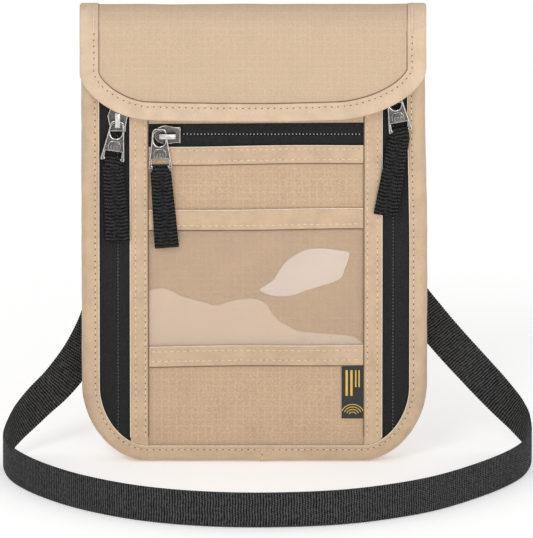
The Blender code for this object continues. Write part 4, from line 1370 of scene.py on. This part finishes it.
def make_pulls():
    """Each zip's slider, its puller, which leans, and the tab that hangs from it."""
    ring = (0, PULLER_PLANE, -RING_DROP)
    cross_ring = (-0.0034, PULLER_PLANE, 0)
    pulls = [
        ("left", (LEFT_CHAIN_X, 0, LEFT_SLIDER_Z), 0, ring, 0.0, -7.8, 3.5),
        ("right", (RIGHT_CHAIN_X, 0, RIGHT_SLIDER_Z), 0, ring, 0.0, 11.0, -9.6),
        ("cross", (CROSS_SLIDER_X, 0, CROSS_CHAIN_Z), 90, cross_ring, CROSS_RING_RISE, 1.5, 4.4),
    ]
    slider = slider_shape()

    def metal(shape, side, part):
        node = f"{side}_{part}"
        shape.build(f"{node}_metal", ["metal", "worn_metal"], "slider_metal", [node], node, 50)

    for k, (side, place, turn, hang, rise, puller_lean, tab_lean) in enumerate(pulls):
        at = Matrix.Translation(place)
        metal(slider.moved(at @ Matrix.Rotation(-math.radians(turn), 4, "Y")), side, "slider")
        lean = Matrix.Rotation(-math.radians(puller_lean), 4, "Y")
        hold = at @ Matrix.Translation(hang) @ lean
        metal(puller_shape(rise).moved(hold), side, "puller")
        bar = hold @ Matrix.Translation((0, 0, rise - CROSSBAR_DROP))
        tab = tab_shape(tab_lean - puller_lean, k).moved(bar)
        tab.build(f"{side}_tab_webbing", ["tab_webbing"], "webbing", [f"{side}_pull_tab"], f"{side}_tab", 50)


def crown_arch(margin):
    """(y, z) over the top, from the body's back to the flap's front, that far inside the crown."""
    front, back = -0.0134, 0.0068
    angle = np.linspace(0, math.pi, 40)
    across, rise = (back - front) / 2 - margin, CROWN_RISE - margin
    return np.stack([(front + back) / 2 + across * np.cos(angle), CROWN_FOOT + rise * np.sin(angle)], -1)


def flap_piece(shape, name, materials, slot=None, replaces=(), angle=40):
    """A piece over the crown and down the flap's front, left in the frame without riding on a body."""
    piece = shape.build(name, materials, slot, replaces, "flap", angle, ride=False)
    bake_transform(piece)
    return piece


def make_flap_cloth():
    """The flap's one sheet: over the crown, then down the front with a soft swell."""
    foot = foot_line(flap_outline(), 0.0010)
    left, right = FLAP_SHIFT - FLAP_HALF + 0.0006, FLAP_SHIFT + FLAP_HALF - 0.0006
    crown = evenly(crown_arch(0.0005), 0.0010)
    front_y, turn_z = crown[-1]
    thickness, ease, over_crown = 0.0007, 0.008, 0.0310

    def ring(x):
        """The sheet's outer side at x from the back to its foot, and its inner side back again."""
        end = foot(x)
        zs = turn_z + (end - turn_z) * np.linspace(0, 1, 46)[1:]
        uneven = 0.00026 * ripple(x, zs, 0.015, 7) + 0.00012 * ripple(x, zs, 0.006, 3)
        swell = 0.0004 * np.sin(np.clip((turn_z - zs) / (turn_z - FLAP_BOTTOM), 0, 1) * math.pi)
        clear = np.clip((min(x - left, right - x) - 0.006) / ease, 0, 1)
        ys = front_y + 0.0003 - (uneven + swell) * clear * np.clip((zs - end - 0.006) / ease, 0, 1)
        lift = 0.00022 * ripple(x, crown[:, 0], 0.013, 2) * np.sin(np.linspace(0, math.pi, len(crown)))
        over = np.stack([crown[:, 0], crown[:, 1] + lift], -1)
        outer = np.concatenate([over, np.stack([ys, zs], -1)])
        inner = outer + turned(directions(outer)) * thickness
        return sideways(np.concatenate([outer, inner[::-1]]), x)

    cloth = loft([ring(x) for x in spaced(left, right, 0.0020, 0.0008)])
    cloth = flap_piece(cloth, "flap_cloth", ["flap_ripstop"], "ripstop", ["flap_shell", "flap_crown"], 60)


def make_flap_binding():
    """The binding round the flap's front, which goes on over both ends of the crown."""
    width, stitch_in = sizes().binding_width + 0.0005, 0.0060
    section = binding_ring(width, -0.0013, 0.0013, stitch_in)
    over = evenly(crown_arch(0.0013), 0.0009)[2:-1]
    out = -turned(directions(over))
    front = flap_outline()
    left = front[0][0]
    count = len(over)
    side = np.array((1.0, 0.0, 0.0))
    left_end, right_end = sideways(over, left), sideways(over, 2 * FLAP_SHIFT - left)[::-1]
    spots = np.concatenate([left_end, upright(front, -0.0121), right_end])
    inwards = np.concatenate([[side] * count, upright(inward(front), 0.0), [-side] * count])
    ways = sideways(out, 0.0)
    ways = np.concatenate([ways, [FORWARDS] * len(front), ways[::-1]])
    run = lengths(spots)
    near_stitches = bell(section[:, 0] - stitch_in, 0.0012)
    rings = []
    for i in range(len(spots)):
        wobble = 0.00008 * float(ripple(run[i], 0.0, 0.008, 4))
        pucker = 0.00006 * math.cos(2 * math.pi * run[i] / sizes().stitch_pitch)
        depth = -section[:, 1] + np.sign(section[:, 1]) * near_stitches * pucker
        rings.append(spots[i] + inwards[i] * (section[:, :1] + wobble) + ways[i] * depth[:, None])
    flap_piece(loft(rings), "flap_binding_tape", ["flap_binding"], "binding_tape", ["flap_binding"], 50)
    # A dark tube of painted shade sunk along the binding's inner edge.
    crease_shade = tube(spots + inwards * (width + 0.0002) + ways * 0.0007, 0.00022, 6)
    flap_piece(crease_shade, "flap_binding_crease_shade", ["crease_shade"])
    sewn = stitched(Shape(), spots + inwards * stitch_in + ways * 0.00122, ways, 3)
    flap_piece(sewn, "flap_binding_stitches", ["thread", "needle_hole_shade"])


def make_flap_hem():
    """The hem that joins the crown to the back, where the flap turns over."""
    hem = evenly([(0.0066, 0.1830), (0.0067, 0.1870), *crown_arch(0.0004)[:6].tolist()], 0.0009)
    out = -turned(directions(hem))
    both = np.concatenate([hem + out * 0.00025, (hem - out * 0.00035)[::-1]])
    xs = spaced(FLAP_SHIFT - 0.0716, FLAP_SHIFT + 0.0716, 0.004, 0.0008)
    hem = loft([sideways(both, x) for x in xs])
    hem = hem.build("flap_back_hem", ["flap_ripstop"], "ripstop", angle=60, ride=False)
    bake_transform(hem)
    row = [(FLAP_SHIFT - 0.070, 0.0071, 0.1846), (FLAP_SHIFT + 0.070, 0.0071, 0.1846)]
    stitches_piece("flap_hem_stitches", [(row, BACKWARDS)])


def make_flap():
    """The flap's cloth and binding, with its lining, hook tape and hem."""
    make_flap_cloth()
    make_flap_binding()
    left, right = FLAP_SHIFT - FLAP_HALF + 0.0008, FLAP_SHIFT + FLAP_HALF - 0.0008
    foot = foot_line(flap_outline(), 0.0012)
    lining = slab(left, right, foot, 0.1880, (-0.0119, -0.0114), None, 0.0002, 0.004)
    lining.build("flap_lining_cloth", ["lining"], "lining", ["flap_lining"], "flap")
    hook = slab(*FASTENER_BOX, (-0.0110, -0.0091), None, 0.0003, 0.0010,
                lambda x, z: 0.0001 * ripple(x, z, 0.0012, 6))
    hook.build("hook_tape", ["hook_loop"], "hook_loop", ["hook_patch"], "flap")
    make_flap_hem()


def make_label():
    """The woven label, with plain bars and arcs in gold thread."""
    label = slab(0.0366, 0.0457, 0.0193, 0.0421, (-0.0066, -0.0062),
                 lambda x, z: 0.00008 + 0.00004 * ripple(x, z, 0.003, 2), 0.0002, 0.0006)
    label.build("label_cloth", ["label"], "label_cloth", ["label_tag"])
    marks = Shape()
    long_bar, short_bar, top = 0.0292, 0.0330, 0.0404
    for left, right, bottom in (
        (0.0382, 0.0392, long_bar),
        (0.0402, 0.0412, long_bar),
        (0.0422, 0.0428, short_bar),
        (0.0436, 0.0442, short_bar),
    ):
        bar = soft_rectangle(left, right, bottom, top, 0.0002)
        marks.add(plate([bar], -0.00685, -0.0066, 0.0001, False))
    for k in range(4):
        path = np.array(arc((0.0412, 0.0206), 0.0016 + 0.0011 * k, 25, 155, 12))
        marks.add(tube(upright(path, -0.0067), 0.00019, 6))
    marks.build("label_marks", ["gold"])


def area_light(name, place, target, size, power):
    """A round soft light, turned towards its target."""
    data = bpy.data.lights.new(name, "AREA")
    data.shape = "DISK"
    data.size = size
    data.energy = power
    made = bpy.data.objects.new(name, data)
    made.location = place
    made.rotation_euler = (Vector(target) - Vector(place)).to_track_quat("-Z", "Y").to_euler()
    bpy.context.scene.collection.objects.link(made)


def make_stage():
    """A wide white floor, a white studio round it, and two soft lights in front."""
    mesh = bpy.data.meshes.new("floor")
    reach = 45.0
    corners = [(-reach, -reach, 0), (reach, -reach, 0), (reach, reach, 0), (-reach, reach, 0)]
    mesh.from_pydata(corners, [], [(0, 1, 2, 3)])
    mesh.materials.append(material("floor"))
    floor = bpy.data.objects.new("floor", mesh)
    bpy.context.scene.collection.objects.link(floor)
    world = bpy.data.worlds.new("studio")
    bpy.context.scene.world = world
    world.use_nodes = True
    background = world.node_tree.nodes["Background"]
    background.inputs["Color"].default_value = (1.0, 1.0, 1.0, 1.0)
    background.inputs["Strength"].default_value = 0.70
    area_light("key", (-1.3, -3.6, 2.9), (0, 0, 0.08), 1.5, 41.0)
    area_light("fill", (1.2, -3.4, 0.30), (0, 0, 0.04), 1.8, 38.0)
    view = bpy.context.scene.view_settings
    view.view_transform = "Standard"
    view.look = "None"


# ---- operators ---------------------------------------------------------------------------------


class PouchOperator:
    bl_options = {"REGISTER", "UNDO"}


class POUCH_OT_camera(PouchOperator, bpy.types.Operator):
    """Sets the camera in front of the pouch, looking slightly down"""

    bl_idname = "pouch.camera"
    bl_label = "Camera"

    def execute(self, context):
        make_camera()
        return {"FINISHED"}


class POUCH_OT_strap(PouchOperator, bpy.types.Operator):
    """Makes the neck strap with its hanger, doubled end and patch"""

    bl_idname = "pouch.strap"
    bl_label = "Neck strap"

    def execute(self, context):
        strap, route, length = make_neck_strap()
        fittings = make_strap_fittings()
        return {"FINISHED"}


class POUCH_OT_binding(PouchOperator, bpy.types.Operator):
    """Makes the body's folded binding with its stitches"""

    bl_idname = "pouch.binding"
    bl_label = "Body binding"

    def execute(self, context):
        make_body_binding()
        return {"FINISHED"}


class POUCH_OT_back(PouchOperator, bpy.types.Operator):
    """Makes the back panel and its padding"""

    bl_idname = "pouch.back"
    bl_label = "Back"

    def execute(self, context):
        make_back()
        return {"FINISHED"}


class POUCH_OT_linings(PouchOperator, bpy.types.Operator):
    """Makes the linings, the divider and the pocket bag"""

    bl_idname = "pouch.linings"
    bl_label = "Linings"

    def execute(self, context):
        make_linings()
        return {"FINISHED"}


class POUCH_OT_panels(PouchOperator, bpy.types.Operator):
    """Makes the panels of the front and the loop tape"""

    bl_idname = "pouch.panels"
    bl_label = "Front panels"

    def execute(self, context):
        make_front_panels()
        return {"FINISHED"}


class POUCH_OT_window(PouchOperator, bpy.types.Operator):
    """Makes the clear window and its backing"""

    bl_idname = "pouch.window"
    bl_label = "Window"

    def execute(self, context):
        make_window()
        return {"FINISHED"}


class POUCH_OT_tapes(PouchOperator, bpy.types.Operator):
    """Makes the folded tapes and strips with their stitches"""

    bl_idname = "pouch.tapes"
    bl_label = "Tapes and strips"

    def execute(self, context):
        make_tapes()
        return {"FINISHED"}


class POUCH_OT_zips(PouchOperator, bpy.types.Operator):
    """Makes the three zips' tapes and teeth"""

    bl_idname = "pouch.zips"
    bl_label = "Zips"

    def execute(self, context):
        make_zips()
        return {"FINISHED"}


class POUCH_OT_pulls(PouchOperator, bpy.types.Operator):
    """Makes the sliders, pullers and webbing tabs"""

    bl_idname = "pouch.pulls"
    bl_label = "Zip pulls"

    def execute(self, context):
        make_pulls()
        return {"FINISHED"}


class POUCH_OT_flap(PouchOperator, bpy.types.Operator):
    """Makes the flap with its binding, lining, hook tape and back hem"""

    bl_idname = "pouch.flap"
    bl_label = "Flap"

    def execute(self, context):
        make_flap()
        return {"FINISHED"}


class POUCH_OT_label(PouchOperator, bpy.types.Operator):
    """Makes the woven label with its plain marks"""

    bl_idname = "pouch.label"
    bl_label = "Label"

    def execute(self, context):
        make_label()
        return {"FINISHED"}


class POUCH_OT_stage(PouchOperator, bpy.types.Operator):
    """Makes the floor and the studio light"""

    bl_idname = "pouch.stage"
    bl_label = "Stage"

    def execute(self, context):
        make_stage()
        return {"FINISHED"}


OPERATORS = (
    POUCH_OT_camera, POUCH_OT_strap, POUCH_OT_binding, POUCH_OT_back, POUCH_OT_linings, POUCH_OT_panels,
    POUCH_OT_window, POUCH_OT_tapes, POUCH_OT_zips, POUCH_OT_pulls, POUCH_OT_flap, POUCH_OT_label,
    POUCH_OT_stage,
)


class POUCH_PT_panel(bpy.types.Panel):
    """The pouch's pieces, in the order they are made"""

    bl_idname = "POUCH_PT_panel"
    bl_label = "Neck pouch wallet"
    bl_space_type = "VIEW_3D"
    bl_region_type = "UI"
    bl_category = "Pouch"

    def draw(self, context):
        for operator in OPERATORS:
            self.layout.operator(operator.bl_idname)
        for group in (context.scene.pouch_sizes, context.scene.pouch_colours):
            for name in group.__annotations__:
                self.layout.prop(group, name)


CLASSES = (PouchSizes, PouchColours, *OPERATORS, POUCH_PT_panel)


def register():
    for item in CLASSES:
        bpy.utils.register_class(item)
    bpy.types.Scene.pouch_sizes = bpy.props.PointerProperty(type=PouchSizes)
    bpy.types.Scene.pouch_colours = bpy.props.PointerProperty(type=PouchColours)


def unregister():
    del bpy.types.Scene.pouch_colours
    del bpy.types.Scene.pouch_sizes
    for item in reversed(CLASSES):
        bpy.utils.unregister_class(item)


def main():
    register()
    for operator in OPERATORS:
        group, name = operator.bl_idname.split(".")
        getattr(getattr(bpy.ops, group), name)()


if __name__ == "__main__":
    main()
